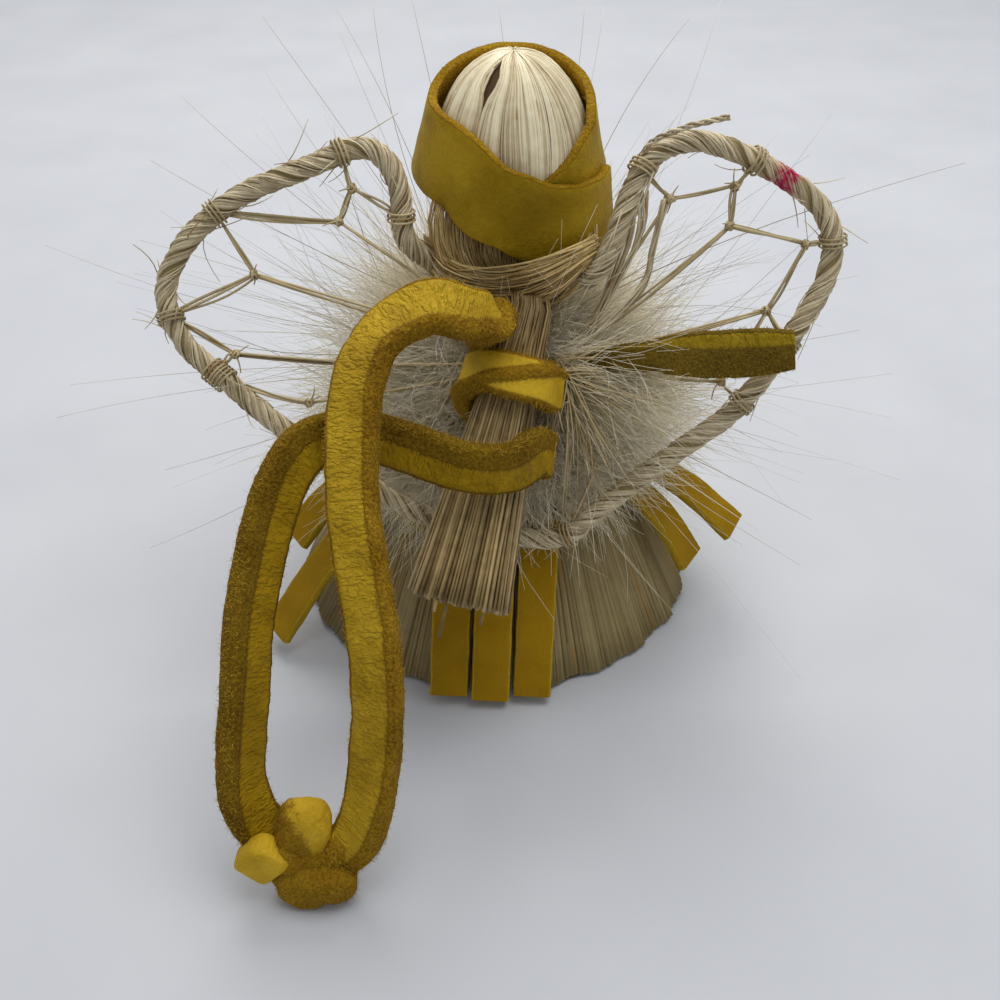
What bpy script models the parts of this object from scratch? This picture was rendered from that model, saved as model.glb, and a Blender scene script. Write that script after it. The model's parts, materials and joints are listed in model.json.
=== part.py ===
"""Corn husk doll: a fibre doll with a netted heart hoop for wings and a hitched leather thong."""
import math

import bmesh
import bpy
from mathutils import Matrix, Vector

# Fits and facets, in metres
CLEARANCE = 0.0003
MERGE_DISTANCE = 0.000001
SMALLEST_STEP = 0.000000001
CURVE_STEPS = 24
SEGMENTS_ROUND = 40
SHARP_ANGLE = math.radians(40)

# Body bundle: one bell of fibre from the hem to the neck
HEM_RADIUS = 0.023
NECK_RADIUS = 0.0044
NECK_BOTTOM = 0.034
NECK_TOP = 0.0407
NECK_SIDE = 0.00125
SKIRT_SWELL_SHARE = 0.97
FLUTE_DEPTH = 0.001
FLUTE_COUNT = 24
FLUTE_STEPS = 4
SKIRT_RING_SHARES = (0.012, 0.1, 0.22, 0.36, 0.5, 0.64, 0.78, 0.9)
HEM_ROUND = 0.0003
FLUTE_GROOVE_SHARE = 0.75
FLUTE_DRIFT_TURNS = 5.0
FLUTE_DRIFT_PHASE = 1.0
PEG_RADIUS = 0.0029

# Head: a hollow wall of fibre round a wad
HEAD_RADIUS = 0.0073
HEAD_HALF_HEIGHT = 0.0102
HEAD_X = 0.0019
HEAD_Y = -0.0003
HEAD_Z = 0.0504
HEAD_WALL = 0.0015
HEAD_FLUTE_DEPTH = 0.00025
HEAD_FLUTE_COUNT = 20
HEAD_RINGS = 11
HEAD_INNER_RINGS = 7
WAD_RINGS = 10
WAD_SEGMENTS = 20

# Headband: one leather strip, lapped at its ends and tilted back
BAND_THICKNESS = 0.001
BAND_HEIGHT = 0.0092
BAND_BELOW = 0.0021
BAND_LOWER_SPACE = 0.0012
BAND_UPPER_TUCK = 0.0004
BAND_LOWER_RADIUS = HEAD_RADIUS + BAND_LOWER_SPACE
BAND_UPPER_RADIUS = HEAD_RADIUS - BAND_UPPER_TUCK
BAND_BACK_SHARE = 0.2
BAND_TILT = math.radians(26)
BAND_START = math.radians(8)
BAND_TURN = math.radians(428)
BAND_LAP_START = math.radians(308)
BAND_LAP_FULL = math.radians(352)
BAND_DROP = 0.0022
BAND_DROP_POWER = 4
BAND_STEPS = 84

# Neck tie: strand wound round the neck and both stems of the hoop
TIE_RADIUS = 0.0004
TIE_PITCH = 0.00125
TIE_TURNS = 2.6
TIE_BOTTOM = 0.0348
TIE_STEPS = 24

# Wing hoop: wrapped rod bent to a heart, its two stems bound at the neck
HOOP_RADIUS = 0.00115
HOOP_HALF_SPAN = 0.0325
HOOP_TOP = 0.054
HOOP_HEIGHT = 0.0355
HOOP_TOP_DEPTH = -0.0042
HOOP_TILT_SHARE = 0.395
STEM_SPREAD = 0.004
STEM_DEPTH = -0.0046
STEM_BOTTOM = 0.0342
STEM_STRAIGHT = 0.0394
HOOP_POINTS = 96
LEFT_OUTLINE_SHARES = (
    (-0.185, 0.665, 0.78),
    (-0.262, 0.76, 0.12),
    (-0.272, 0.88, 0.0),
    (-0.32, 0.955, 0.0),
    (-0.40, 0.975, 0.0),
    (-0.55, 0.925, 0.0),
    (-0.73, 0.865, 0.0),
    (-0.89, 0.76, 0.0),
    (-0.97, 0.63, 0.0),
    (-0.925, 0.50, 0.0),
    (-0.79, 0.39, 0.0),
    (-0.66, 0.29, 0.0),
    (-0.47, 0.175, 0.0),
    (-0.27, 0.065, 0.0),
    (-0.05, 0.0, 0.0),
    (0.13, -0.02, 0.0),
    (0.24, -0.005, 0.0),
)
RIGHT_OUTLINE_SHARES = (
    (0.36, 0.085, 0.0),
    (0.55, 0.21, 0.0),
    (0.74, 0.335, 0.0),
    (0.90, 0.53, 0.0),
    (0.98, 0.66, 0.0),
    (0.99, 0.77, 0.0),
    (0.92, 0.86, 0.0),
    (0.79, 0.93, 0.0),
    (0.66, 0.98, 0.0),
    (0.55, 0.99, 0.0),
    (0.45, 0.95, 0.0),
    (0.395, 0.86, 0.0),
    (0.35, 0.75, 0.0),
    (0.29, 0.655, 0.2),
)

# Wing web: knotted strands across the hoop, gathered at a hub behind the neck
STRAND_RADIUS = 0.00036
KNOT_RADIUS = 0.00062
HUB_RADIUS = 0.0011
HUB_PULL = 0.0034
KNOT_INSET_SHARE = 0.45
KNOT_SEGMENTS = 8
KNOT_RINGS = 5
HUB_SEGMENTS = 10
HUB_RINGS = 6
HUB_SHARES = (0.212, 0.41)
WEB_KNOT_SHARES = {
    "left_high": (-0.41, 0.88),
    "left_top": (-0.452, 0.80),
    "left_outer": (-0.705, 0.67),
    "left_low": (-0.775, 0.47),
    "left_foot": (-0.56, 0.345),
    "right_stem": (0.515, 0.855),
    "right_top": (0.70, 0.885),
    "right_mid": (0.69, 0.79),
    "right_outer": (0.915, 0.745),
    "right_low": (0.81, 0.58),
    "right_foot": (0.685, 0.40),
    "tip": (0.31, 0.175),
}
WEB_STRANDS = (
    ("left_high", "left_top"),
    ("left_top", "hub"),
    ("left_outer", "hub"),
    ("left_low", "hub"),
    ("left_foot", "hub"),
    ("right_stem", "hub"),
    ("right_stem", "right_top"),
    ("right_top", "right_mid"),
    ("right_mid", "hub"),
    ("right_mid", "right_outer"),
    ("right_outer", "right_low"),
    ("right_low", "hub"),
    ("right_low", "right_foot"),
    ("right_foot", "hub"),
    ("tip", "hub"),
)
WEB_ANCHOR_SHARES = (
    ("left_high", (-0.435, 0.97)),
    ("left_high", (-0.285, 0.815)),
    ("left_top", (-0.80, 0.822)),
    ("left_outer", (-0.80, 0.822)),
    ("left_outer", (-0.952, 0.573)),
    ("left_low", (-0.952, 0.573)),
    ("left_low", (-0.84, 0.43)),
    ("left_foot", (-0.81, 0.417)),
    ("right_stem", (0.435, 0.93)),
    ("right_top", (0.755, 0.945)),
    ("right_outer", (0.995, 0.745)),
    ("right_low", (0.885, 0.50)),
    ("right_foot", (0.745, 0.345)),
    ("tip", (0.235, -0.005)),
)

# Fur wrap round the torso: tight behind the wings, and fluffed out at the sides and front
FUR_BOTTOM = 0.0182
FUR_TOP = 0.0334
FUR_REACH = 0.0152
FUR_FLUFF_OUT = 0.0062
FUR_FLUFF_UP = 0.0052
FUR_TUFT_DEPTH = 0.0009
FUR_TUFTS = 13
FUR_TUFT_PHASE = 1.3
FUR_OUTLINE_SHARES = (
    (0.0, 0.925, 0.7, 0.0),
    (0.06, 0.97, 0.9, 0.0),
    (0.16, 1.0, 1.0, 0.1),
    (0.4, 0.93, 1.0, 0.45),
    (0.66, 0.77, 1.0, 0.85),
    (0.86, 0.62, 0.85, 1.0),
    (0.96, 0.545, 0.5, 0.75),
)
FUR_TIGHT_SHARE = -0.78
FUR_LOOSE_SHARE = -0.22
FUR_INNER_RINGS = 5
FUR_SEGMENTS = FUR_TUFTS * 5

# Waist band and the fringe strips that hang from it
WAIST_BOTTOM = 0.0149
WAIST_TOP = 0.0172
WAIST_THICKNESS = 0.0008
STRIP_TOP = 0.0167
STRIP_WIDTH = 0.0040
STRIP_THICKNESS = 0.0011
STRIP_STEPS = 6
STRIP_BULGE = 0.0006
FRINGE_DEGREES = {
    "fringe_back_left": -1.0,
    "fringe_back_middle": -1.0,
    "fringe_back_right": -1.0,
    "fringe_right_near": 72.0,
    "fringe_right_far": 72.0,
    "fringe_left_near": -63.0,
    "fringe_left_far": -63.0,
    "fringe_front_left": 179.0,
    "fringe_front_middle": 179.0,
    "fringe_front_right": 179.0,
}
FRINGE_SHARES = {
    "fringe_back_left": (-1.1, 1.0435, 0.066),
    "fringe_back_middle": (0.0, 1.0696, 0.06),
    "fringe_back_right": (1.1, 1.0435, 0.066),
    "fringe_right_near": (-0.625, 1.0348, 0.479),
    "fringe_right_far": (0.675, 1.2043, 0.575),
    "fringe_left_near": (0.65, 1.2348, 0.12),
    "fringe_left_far": (-0.65, 1.0261, 0.599),
    "fringe_front_left": (-1.1, 1.0435, 0.066),
    "fringe_front_middle": (0.0, 1.0696, 0.06),
    "fringe_front_right": (1.1, 1.0435, 0.066),
}

# Side strip: a short leather end in front of the right wing
SIDE_STRIP_WIDTH = 0.0045
SIDE_STRIP_THICKNESS = 0.0012
SIDE_STRIP_ROUTE = (
    ((0.0083, -0.0110, 0.0342), (0.35, -0.90, 0.1)),
    ((0.0150, -0.0137, 0.0362), (0.2, -0.94, 0.2)),
    ((0.0210, -0.0149, 0.0370), (0.15, -0.95, 0.2)),
    ((0.0281, -0.0158, 0.0380), (0.1, -0.97, 0.15)),
)
SIDE_STRIP_POINTS = 10

# Ponytail: fibre that comes out over the neck tie and hangs straight to a square cut
PONYTAIL_ROOT = Vector((0.0019, -0.0057, 0.0397))
PONYTAIL_CREST = Vector((0.0028, -0.0086, 0.0411))
PONYTAIL_PIVOT = Vector((0.0028, -0.0076, 0.0408))
PONYTAIL_TOP = Vector((0.00345, -0.0120, 0.0403))
PONYTAIL_END = Vector((-0.0033, -0.0280, 0.0176))
PONYTAIL_ROOT_RADIUS = 0.0009
PONYTAIL_TOP_RADIUS = 0.00185
PONYTAIL_END_RADIUS = 0.0051
PONYTAIL_FLAT_SHARE = 0.78
PONYTAIL_FLAT_FROM_SHARE = 0.58
PONYTAIL_FLUTE_DEPTH = 0.00028
PONYTAIL_FLUTES = 11
PONYTAIL_FLUTE_FADE = 2.0
PONYTAIL_STEPS = 12
PONYTAIL_BEND_STEPS = 5

# Leather thong: turns on the ponytail, two free runs and the knot that closes the loop
THONG_WIDTH = 0.0046
THONG_THICKNESS = 0.0020
EDGE_ROUND_SHARE = 0.28
WRAP_WIDTH = 0.0042
WRAP_STEPS = 52
WRAP_START = math.radians(80)
WRAP_TURN = math.radians(510)
WRAP_ALONG_SHARES = (0.46, 0.44, 0.33, 0.25, 0.238, 0.243, 0.19, 0.12)
WRAP_GAP = math.radians(9)
WRAP_LEAD_GAPS = 3.0
RUN_POINTS = 40
FRONT_RUN_ROUTE = (
    ((-0.0015, -0.0135, 0.0399), (-0.95, -0.05, 0.20)),
    ((-0.0023, -0.0161, 0.0418), (-0.85, -0.05, 0.45)),
    ((-0.0017, -0.0187, 0.0429), (-0.60, 0.05, 0.70)),
    ((-0.0028, -0.0203, 0.0441), (-0.40, -0.10, 0.90)),
    ((-0.0053, -0.0205, 0.0449), (-0.05, -0.35, 0.93)),
    ((-0.0081, -0.0213, 0.0440), (-0.45, -0.40, 0.80)),
    ((-0.0104, -0.0231, 0.0424), (-0.65, -0.50, 0.57)),
    ((-0.0116, -0.0256, 0.0400), (-0.52, -0.65, 0.54)),
    ((-0.0119, -0.0286, 0.0373), (-0.42, -0.74, 0.52)),
    ((-0.0118, -0.0330, 0.0331), (-0.35, -0.78, 0.50)),
    ((-0.0109, -0.0370, 0.0289), (-0.35, -0.80, 0.45)),
    ((-0.0100, -0.0403, 0.0241), (-0.38, -0.82, 0.38)),
    ((-0.0097, -0.0428, 0.0195), (-0.42, -0.85, 0.30)),
    ((-0.0101, -0.0448, 0.0144), (-0.45, -0.85, 0.20)),
    ((-0.0110, -0.0462, 0.0094), (-0.50, -0.80, 0.10)),
    ((-0.0121, -0.0467, 0.0062), (-0.55, -0.80, -0.10)),
)
BACK_RUN_ROUTE = (
    ((0.0017, -0.0252, 0.0312), (0.25, -0.94, 0.20)),
    ((-0.0016, -0.0264, 0.0319), (0.00, -0.98, 0.15)),
    ((-0.0045, -0.0260, 0.0325), (0.00, -0.97, 0.20)),
    ((-0.0074, -0.0253, 0.0333), (0.00, -0.97, 0.22)),
    ((-0.0102, -0.0248, 0.0340), (0.05, -0.95, 0.25)),
    ((-0.0128, -0.0251, 0.0346), (0.10, -0.93, 0.30)),
    ((-0.0154, -0.0262, 0.0347), (0.20, -0.90, 0.35)),
    ((-0.0173, -0.0280, 0.0338), (0.35, -0.84, 0.35)),
    ((-0.0188, -0.0306, 0.0316), (0.50, -0.78, 0.30)),
    ((-0.0200, -0.0340, 0.0279), (0.62, -0.72, 0.22)),
    ((-0.0209, -0.0376, 0.0237), (0.70, -0.68, 0.15)),
    ((-0.0212, -0.0406, 0.0195), (0.74, -0.65, 0.10)),
    ((-0.0217, -0.0431, 0.0148), (0.75, -0.65, 0.05)),
    ((-0.0218, -0.0449, 0.0108), (0.75, -0.65, 0.00)),
    ((-0.0203, -0.0459, 0.0080), (0.60, -0.75, 0.20)),
)
KNOT_CENTRE = Vector((-0.0170, -0.0462, 0.0048))
KNOT_CORE = Vector((0.0031, 0.0028, 0.0030))
KNOT_TURN_RADIUS = 0.0026
KNOT_TURN_STEPS = 20
KNOT_LOBE_OFFSET = Vector((0.0000, -0.0004, 0.0022))
KNOT_LOBE = Vector((0.0026, 0.0022, 0.0020))
KNOT_STUB_WIDTH = 0.0040
KNOT_STUB_THICKNESS = 0.0024
KNOT_STUB_ROUTE = (
    ((-0.0165, -0.0462, 0.0046), (-0.1, -0.85, 0.5)),
    ((-0.0195, -0.0468, 0.0040), (-0.1, -0.85, 0.5)),
    ((-0.0222, -0.0476, 0.0034), (-0.1, -0.85, 0.5)),
)
KNOT_STUB_POINTS = 5
BALL_SEGMENTS = 16
BALL_RINGS = 10

# Finishes
STRAW_COLOUR = (0.62, 0.50, 0.31)
STRAW_ROUGHNESS = 0.7
PALE_COLOUR = (0.78, 0.70, 0.55)
PALE_ROUGHNESS = 0.9
LEATHER_COLOUR = (0.50, 0.31, 0.045)
LEATHER_ROUGHNESS = 0.75
FUR_COLOUR = (0.86, 0.84, 0.80)
FUR_ROUGHNESS = 0.95

UP = Vector((0.0, 0.0, 1.0))
RIGHT = Vector((1.0, 0.0, 0.0))
FULL_TURN = 2.0 * math.pi


def clear_scene():
    """Remove every object, so that the model starts from nothing."""
    for thing in list(bpy.data.objects):
        bpy.data.objects.remove(thing, do_unlink=True)


def new_collection(name):
    """Make a collection under the scene's own."""
    group = bpy.data.collections.new(name)
    bpy.context.scene.collection.children.link(group)
    return group


def principled(name, colour, roughness):
    """Make a plain material from the photographed colour."""
    made = bpy.data.materials.new(name)
    made.use_nodes = True
    shader = made.node_tree.nodes["Principled BSDF"]
    shader.inputs["Base Color"].default_value = (*colour, 1.0)
    shader.inputs["Roughness"].default_value = roughness
    shader.inputs["Metallic"].default_value = 0.0
    return made


def finish_mesh(name, mesh_data, material_made):
    """Turn a closed bmesh into a named object with smooth round faces."""
    bmesh.ops.recalc_face_normals(mesh_data, faces=mesh_data.faces)
    mesh = bpy.data.meshes.new(name)
    mesh_data.to_mesh(mesh)
    mesh_data.free()
    mesh.materials.append(material_made)
    mesh.shade_smooth()
    mesh.set_sharp_from_angle(angle=SHARP_ANGLE)
    made = bpy.data.objects.new(name, mesh)
    PARTS.objects.link(made)
    return made


def bridge(mesh_data, lower, upper):
    """Join two rings with the same number of corners."""
    count = len(lower)
    for i in range(count):
        j = (i + 1) % count
        mesh_data.faces.new((lower[i], lower[j], upper[j], upper[i]))


def loft(rings, closed=False, pole_start=None, pole_end=None):
    """Skin a list of rings, capped at both ends or joined into a closed hoop."""
    mesh_data = bmesh.new()
    loops = [[mesh_data.verts.new(point) for point in ring] for ring in rings]
    for lower, upper in zip(loops, loops[1:]):
        bridge(mesh_data, lower, upper)
    if closed:
        bridge(mesh_data, loops[-1], loops[0])
        return mesh_data
    for ring, pole in ((loops[0], pole_start), (loops[-1], pole_end)):
        if pole is None:
            mesh_data.faces.new(ring)
            continue
        tip = mesh_data.verts.new(pole)
        for i, corner in enumerate(ring):
            mesh_data.faces.new((corner, ring[(i + 1) % len(ring)], tip))
    return mesh_data


def blend_points(rows, share):
    """Read a smooth curve through rows of vectors at a share of its length in rows."""
    last = len(rows) - 1
    place = min(max(share, 0.0), 1.0) * last
    k = min(int(place), last - 1)
    t = place - k
    p1 = rows[k]
    p2 = rows[k + 1]
    p0 = rows[k - 1] if k > 0 else p1 * 2.0 - p2
    p3 = rows[k + 2] if k + 2 <= last else p2 * 2.0 - p1
    return 0.5 * (
        p1 * 2.0
        + (p2 - p0) * t
        + (p0 * 2.0 - p1 * 5.0 + p2 * 4.0 - p3) * t ** 2
        + (p1 * 3.0 - p0 - p2 * 3.0 + p3) * t ** 3
    )


def even_shares(rows, count):
    """Find shares that give evenly spaced points along the curve through rows."""
    fine = (len(rows) - 1) * CURVE_STEPS
    points = [blend_points(rows, i / fine) for i in range(fine + 1)]
    lengths = [0.0]
    for a, b in zip(points, points[1:]):
        lengths.append(lengths[-1] + (b - a).length)
    shares = []
    k = 0
    for i in range(count):
        wanted = lengths[-1] * i / (count - 1)
        while k < fine - 1 and lengths[k + 1] < wanted:
            k += 1
        step = max(lengths[k + 1] - lengths[k], SMALLEST_STEP)
        shares.append((k + min((wanted - lengths[k]) / step, 1.0)) / fine)
    return shares


def smooth_route(rows, count):
    """Return evenly spaced points, with blended face directions, along a leather route."""
    places = [Vector(row[0]) for row in rows]
    faces = [Vector(row[1]) for row in rows]
    shares = even_shares(places, count)
    points = [blend_points(places, share) for share in shares]
    turned = [blend_points(faces, share) for share in shares]
    return points, turned


def tangents(points, closed=False):
    """Return the unit direction of travel at each point."""
    count = len(points)
    found = []
    for i in range(count):
        before = points[i - 1] if closed or i > 0 else points[0]
        after = points[(i + 1) % count] if closed or i < count - 1 else points[-1]
        found.append((after - before).normalized())
    return found


def strap(points, faces, width, thickness, closed=False):
    """Loft a flat leather strip with softened edges along points, its face turned to faces."""
    half_width = width / 2.0
    half_thick = thickness / 2.0
    cut = thickness * EDGE_ROUND_SHARE
    outline = (
        (half_width - cut, half_thick),
        (half_width, half_thick - cut),
        (half_width, cut - half_thick),
        (half_width - cut, -half_thick),
        (cut - half_width, -half_thick),
        (-half_width, cut - half_thick),
        (-half_width, half_thick - cut),
        (cut - half_width, half_thick),
    )
    rings = []
    for point, along, face in zip(points, tangents(points, closed), faces):
        outward = (face - along * face.dot(along)).normalized()
        side = along.cross(outward)
        rings.append([point + side * across + outward * out for across, out in outline])
    return loft(rings, closed=closed)


def tube(name, points, radius, material_made, resolution=2):
    """Make a capped round tube as a poly curve along the points."""
    curve = bpy.data.curves.new(name, "CURVE")
    curve.dimensions = "3D"
    curve.bevel_depth = radius
    curve.bevel_resolution = resolution
    curve.use_fill_caps = True
    line = curve.splines.new("POLY")
    line.points.add(len(points) - 1)
    for spot, place in zip(line.points, points):
        spot.co = (*place, 1.0)
    curve.materials.append(material_made)
    made = bpy.data.objects.new(name, curve)
    PARTS.objects.link(made)
    return made


def solid_from_curve(made, group):
    """Replace a curve object with its closed mesh, so that it can be joined."""
    bpy.context.view_layer.update()
    graph = bpy.context.evaluated_depsgraph_get()
    mesh = bpy.data.meshes.new_from_object(made.evaluated_get(graph))
    name = made.name
    place = made.matrix_world.copy()
    bpy.data.objects.remove(made, do_unlink=True)
    mesh_data = bmesh.new()
    mesh_data.from_mesh(mesh)
    bmesh.ops.remove_doubles(mesh_data, verts=mesh_data.verts, dist=MERGE_DISTANCE)
    bmesh.ops.recalc_face_normals(mesh_data, faces=mesh_data.faces)
    mesh_data.to_mesh(mesh)
    mesh_data.free()
    solid = bpy.data.objects.new(name, mesh)
    solid.matrix_world = place
    group.objects.link(solid)
    return solid


def ball(name, centre, sizes, group, material_made, segments, rings):
    """Make an ellipsoid from a sphere primitive."""
    mesh_data = bmesh.new()
    bmesh.ops.create_uvsphere(mesh_data, u_segments=segments, v_segments=rings, radius=1.0)
    bmesh.ops.scale(mesh_data, vec=sizes, verts=mesh_data.verts)
    bmesh.ops.translate(mesh_data, vec=centre, verts=mesh_data.verts)
    mesh = bpy.data.meshes.new(name)
    mesh_data.to_mesh(mesh)
    mesh_data.free()
    mesh.materials.append(material_made)
    mesh.shade_smooth()
    made = bpy.data.objects.new(name, mesh)
    group.objects.link(made)
    return made


def join_solids(base, others):
    """Union solids into one with exact Booleans, keeping the joined pieces as hidden guides."""
    for other in others:
        other.hide_render = True
        other.display_type = "WIRE"
        joined = base.modifiers.new("join_" + other.name, "BOOLEAN")
        joined.operation = "UNION"
        joined.solver = "EXACT"
        joined.object = other
    return base


def set_origin(made, place):
    """Move an object's origin to a joint's axis without moving its shape."""
    made.data.transform(Matrix.Translation(-place))
    made.location = place


def body_centre(height):
    """Return the middle of the body bundle at a height: it leans a little to one side."""
    return Vector((NECK_SIDE * min(height / NECK_BOTTOM, 1.0), 0.0, height))


def body_radius(height):
    """Return the outer radius of the body bundle at a height."""
    share = max(1.0 - height / NECK_BOTTOM, 0.0)
    return NECK_RADIUS + (HEM_RADIUS - NECK_RADIUS) * share ** SKIRT_SWELL_SHARE


def wave(angle):
    """Return a wave that goes smoothly from 0 to 1 and back in each turn."""
    return (1.0 - math.cos(angle)) / 2.0


def round_ring(centre, radius, count, flute_depth=0.0, flutes=0, phase=0.0):
    """Return a level ring whose flutes cut inwards from the radius."""
    ring = []
    for i in range(count):
        angle = FULL_TURN * i / count
        groove = FLUTE_GROOVE_SHARE * wave(flutes * angle + phase)
        drift = (1.0 - FLUTE_GROOVE_SHARE) * wave(angle * FLUTE_DRIFT_TURNS + FLUTE_DRIFT_PHASE + phase)
        reach = radius - flute_depth * (groove + drift)
        ring.append(centre + Vector((math.cos(angle), math.sin(angle), 0.0)) * reach)
    return ring


def build_body_bundle(straw):
    """Fluted bell with a flat hem, a neck and a peg that rises into the head."""
    count = FLUTE_COUNT * FLUTE_STEPS
    heights = [0.0] + [share * NECK_BOTTOM for share in SKIRT_RING_SHARES]
    rings = []
    for height in heights:
        fade = max(1.0 - height / NECK_BOTTOM, 0.0)
        radius = body_radius(height) - (HEM_ROUND if height == 0.0 else 0.0)
        depth = FLUTE_DEPTH * fade
        rings.append(round_ring(body_centre(height), radius, count, depth, FLUTE_COUNT))
    rings.append(round_ring(body_centre(NECK_BOTTOM), NECK_RADIUS, count))
    rings.append(round_ring(body_centre(NECK_TOP), NECK_RADIUS, count))
    peg = Vector((HEAD_X, HEAD_Y, NECK_TOP))
    rings.append(round_ring(peg, PEG_RADIUS, count))
    peg.z = wad_bottom() - CLEARANCE
    rings.append(round_ring(peg, PEG_RADIUS, count))
    return finish_mesh("body_bundle", loft(rings), straw)


def wad_sizes():
    """Return the half sizes of the wad inside the head wall."""
    shrink = HEAD_WALL + CLEARANCE
    return Vector((HEAD_RADIUS - shrink, HEAD_RADIUS - shrink, HEAD_HALF_HEIGHT - shrink))


def wad_bottom():
    """Return the lowest height of the wad."""
    return HEAD_Z - wad_sizes().z


def head_ring(radius, half_height, share, flute_depth):
    """Return one ring of an ellipsoid in the head, at a share of the way from pole to pole."""
    angle = math.pi * share
    centre = Vector((HEAD_X, HEAD_Y, HEAD_Z + half_height * math.cos(angle)))
    depth = flute_depth * math.sin(angle)
    return round_ring(centre, radius * math.sin(angle), SEGMENTS_ROUND, depth, HEAD_FLUTE_COUNT)


def build_head(straw, pale):
    """Hollow fibre head that is open at the neck, and the wad that fills it."""
    mouth = PEG_RADIUS + CLEARANCE
    outer_end = 1.0 - math.asin(mouth / HEAD_RADIUS) / math.pi
    inner_radius = HEAD_RADIUS - HEAD_WALL
    inner_height = HEAD_HALF_HEIGHT - HEAD_WALL
    inner_end = 1.0 - math.asin(mouth / inner_radius) / math.pi
    rings = []
    for i in range(1, HEAD_RINGS + 1):
        share = outer_end * i / HEAD_RINGS
        depth = HEAD_FLUTE_DEPTH if i < HEAD_RINGS else 0.0
        rings.append(head_ring(HEAD_RADIUS, HEAD_HALF_HEIGHT, share, depth))
    for i in range(HEAD_INNER_RINGS, 0, -1):
        share = inner_end * i / HEAD_INNER_RINGS
        rings.append(head_ring(inner_radius, inner_height, share, 0.0))
    crown = Vector((HEAD_X, HEAD_Y, HEAD_Z + HEAD_HALF_HEIGHT))
    inner_crown = Vector((HEAD_X, HEAD_Y, HEAD_Z + inner_height))
    finish_mesh("head_bundle", loft(rings, pole_start=crown, pole_end=inner_crown), straw)
    centre = Vector((HEAD_X, HEAD_Y, HEAD_Z))
    ball("head_wad", centre, wad_sizes(), PARTS, pale, WAD_SEGMENTS, WAD_RINGS)


def build_headband(leather):
    """One strip of leather wound once round the head and lapped over its own start."""
    axis = Vector((0.0, -math.sin(BAND_TILT), math.cos(BAND_TILT)))
    front = RIGHT.cross(axis)
    centre = Vector((HEAD_X, HEAD_Y, HEAD_Z))
    middle_up = BAND_HEIGHT / 2.0 - BAND_BELOW
    middle_radius = (BAND_LOWER_RADIUS + BAND_UPPER_RADIUS) / 2.0 + BAND_THICKNESS / 2.0
    lean = (BAND_LOWER_RADIUS - BAND_UPPER_RADIUS) / BAND_HEIGHT
    points = []
    faces = []
    for i in range(BAND_STEPS):
        share = i / (BAND_STEPS - 1)
        angle = BAND_START + BAND_TURN * share
        lap = min(max((angle - BAND_LAP_START) / (BAND_LAP_FULL - BAND_LAP_START), 0.0), 1.0)
        step_out = (BAND_THICKNESS + CLEARANCE) * wave(math.pi * lap)
        outward = front * math.cos(angle) + RIGHT * math.sin(angle)
        up = middle_up - BAND_DROP * share ** BAND_DROP_POWER
        middle = centre + (axis - front * BAND_BACK_SHARE) * up
        points.append(middle + outward * (middle_radius + step_out))
        faces.append(outward + axis * (lean + BAND_BACK_SHARE * outward.dot(front)))
    return finish_mesh("headband", strap(points, faces, BAND_HEIGHT, BAND_THICKNESS), leather)


def stem_places():
    """Return the two spots in front of the neck where the hoop's stems stand."""
    return [Vector((NECK_SIDE + side * STEM_SPREAD, STEM_DEPTH, 0.0)) for side in (-1.0, 1.0)]


def build_neck_tie(straw):
    """Strand wound tight round the neck and both stems, like a string round three posts."""
    posts = [(Vector((NECK_SIDE, 0.0, 0.0)), NECK_RADIUS)]
    posts += [(place, HOOP_RADIUS) for place in stem_places()]
    offset = CLEARANCE + TIE_RADIUS
    total = int(TIE_TURNS * TIE_STEPS)
    points = []
    for i in range(total + 1):
        angle = FULL_TURN * i / TIE_STEPS + math.pi / 2.0
        facing = Vector((math.cos(angle), math.sin(angle), 0.0))
        place, radius = max(posts, key=lambda post: post[0].dot(facing) + post[1])
        height = TIE_BOTTOM + TIE_PITCH * i / TIE_STEPS
        points.append(place + facing * (radius + offset) + UP * height)
    gap = TIE_PITCH - 2.0 * TIE_RADIUS
    print("neck_tie: least gap between turns %.2f mm" % (gap * 1000.0))
    return tube("neck_tie", points, TIE_RADIUS, straw, resolution=1)


def hoop_place(across, up, seat=0.0, pull=0.0):
    """Return a place on the tilted wing plane, drawn towards the stems by the seat share."""
    height = HOOP_TOP - HOOP_HEIGHT * (1.0 - up)
    depth = HOOP_TOP_DEPTH - HOOP_TILT_SHARE * (HOOP_TOP - height)
    depth += (STEM_DEPTH - depth) * seat + pull
    return Vector((HOOP_HALF_SPAN * across, depth, height))


def hoop_rows():
    """Return the hoop's own points, from the left stem round the heart to the right stem."""
    left, right = stem_places()
    heights = (STEM_BOTTOM, (STEM_BOTTOM + STEM_STRAIGHT) / 2.0, STEM_STRAIGHT)
    rows = [left + UP * height for height in heights]
    rows += [hoop_place(*row) for row in LEFT_OUTLINE_SHARES + RIGHT_OUTLINE_SHARES]
    rows += [right + UP * height for height in reversed(heights)]
    return rows


def hoop_line(count=HOOP_POINTS):
    """Return evenly spaced points along the hoop."""
    rows = hoop_rows()
    return [blend_points(rows, share) for share in even_shares(rows, count)]


def build_wing_hoop(straw):
    """Wrapped rod bent into the heart that makes both wings."""
    return tube("wing_hoop", hoop_line(), HOOP_RADIUS, straw, resolution=1)


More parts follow.
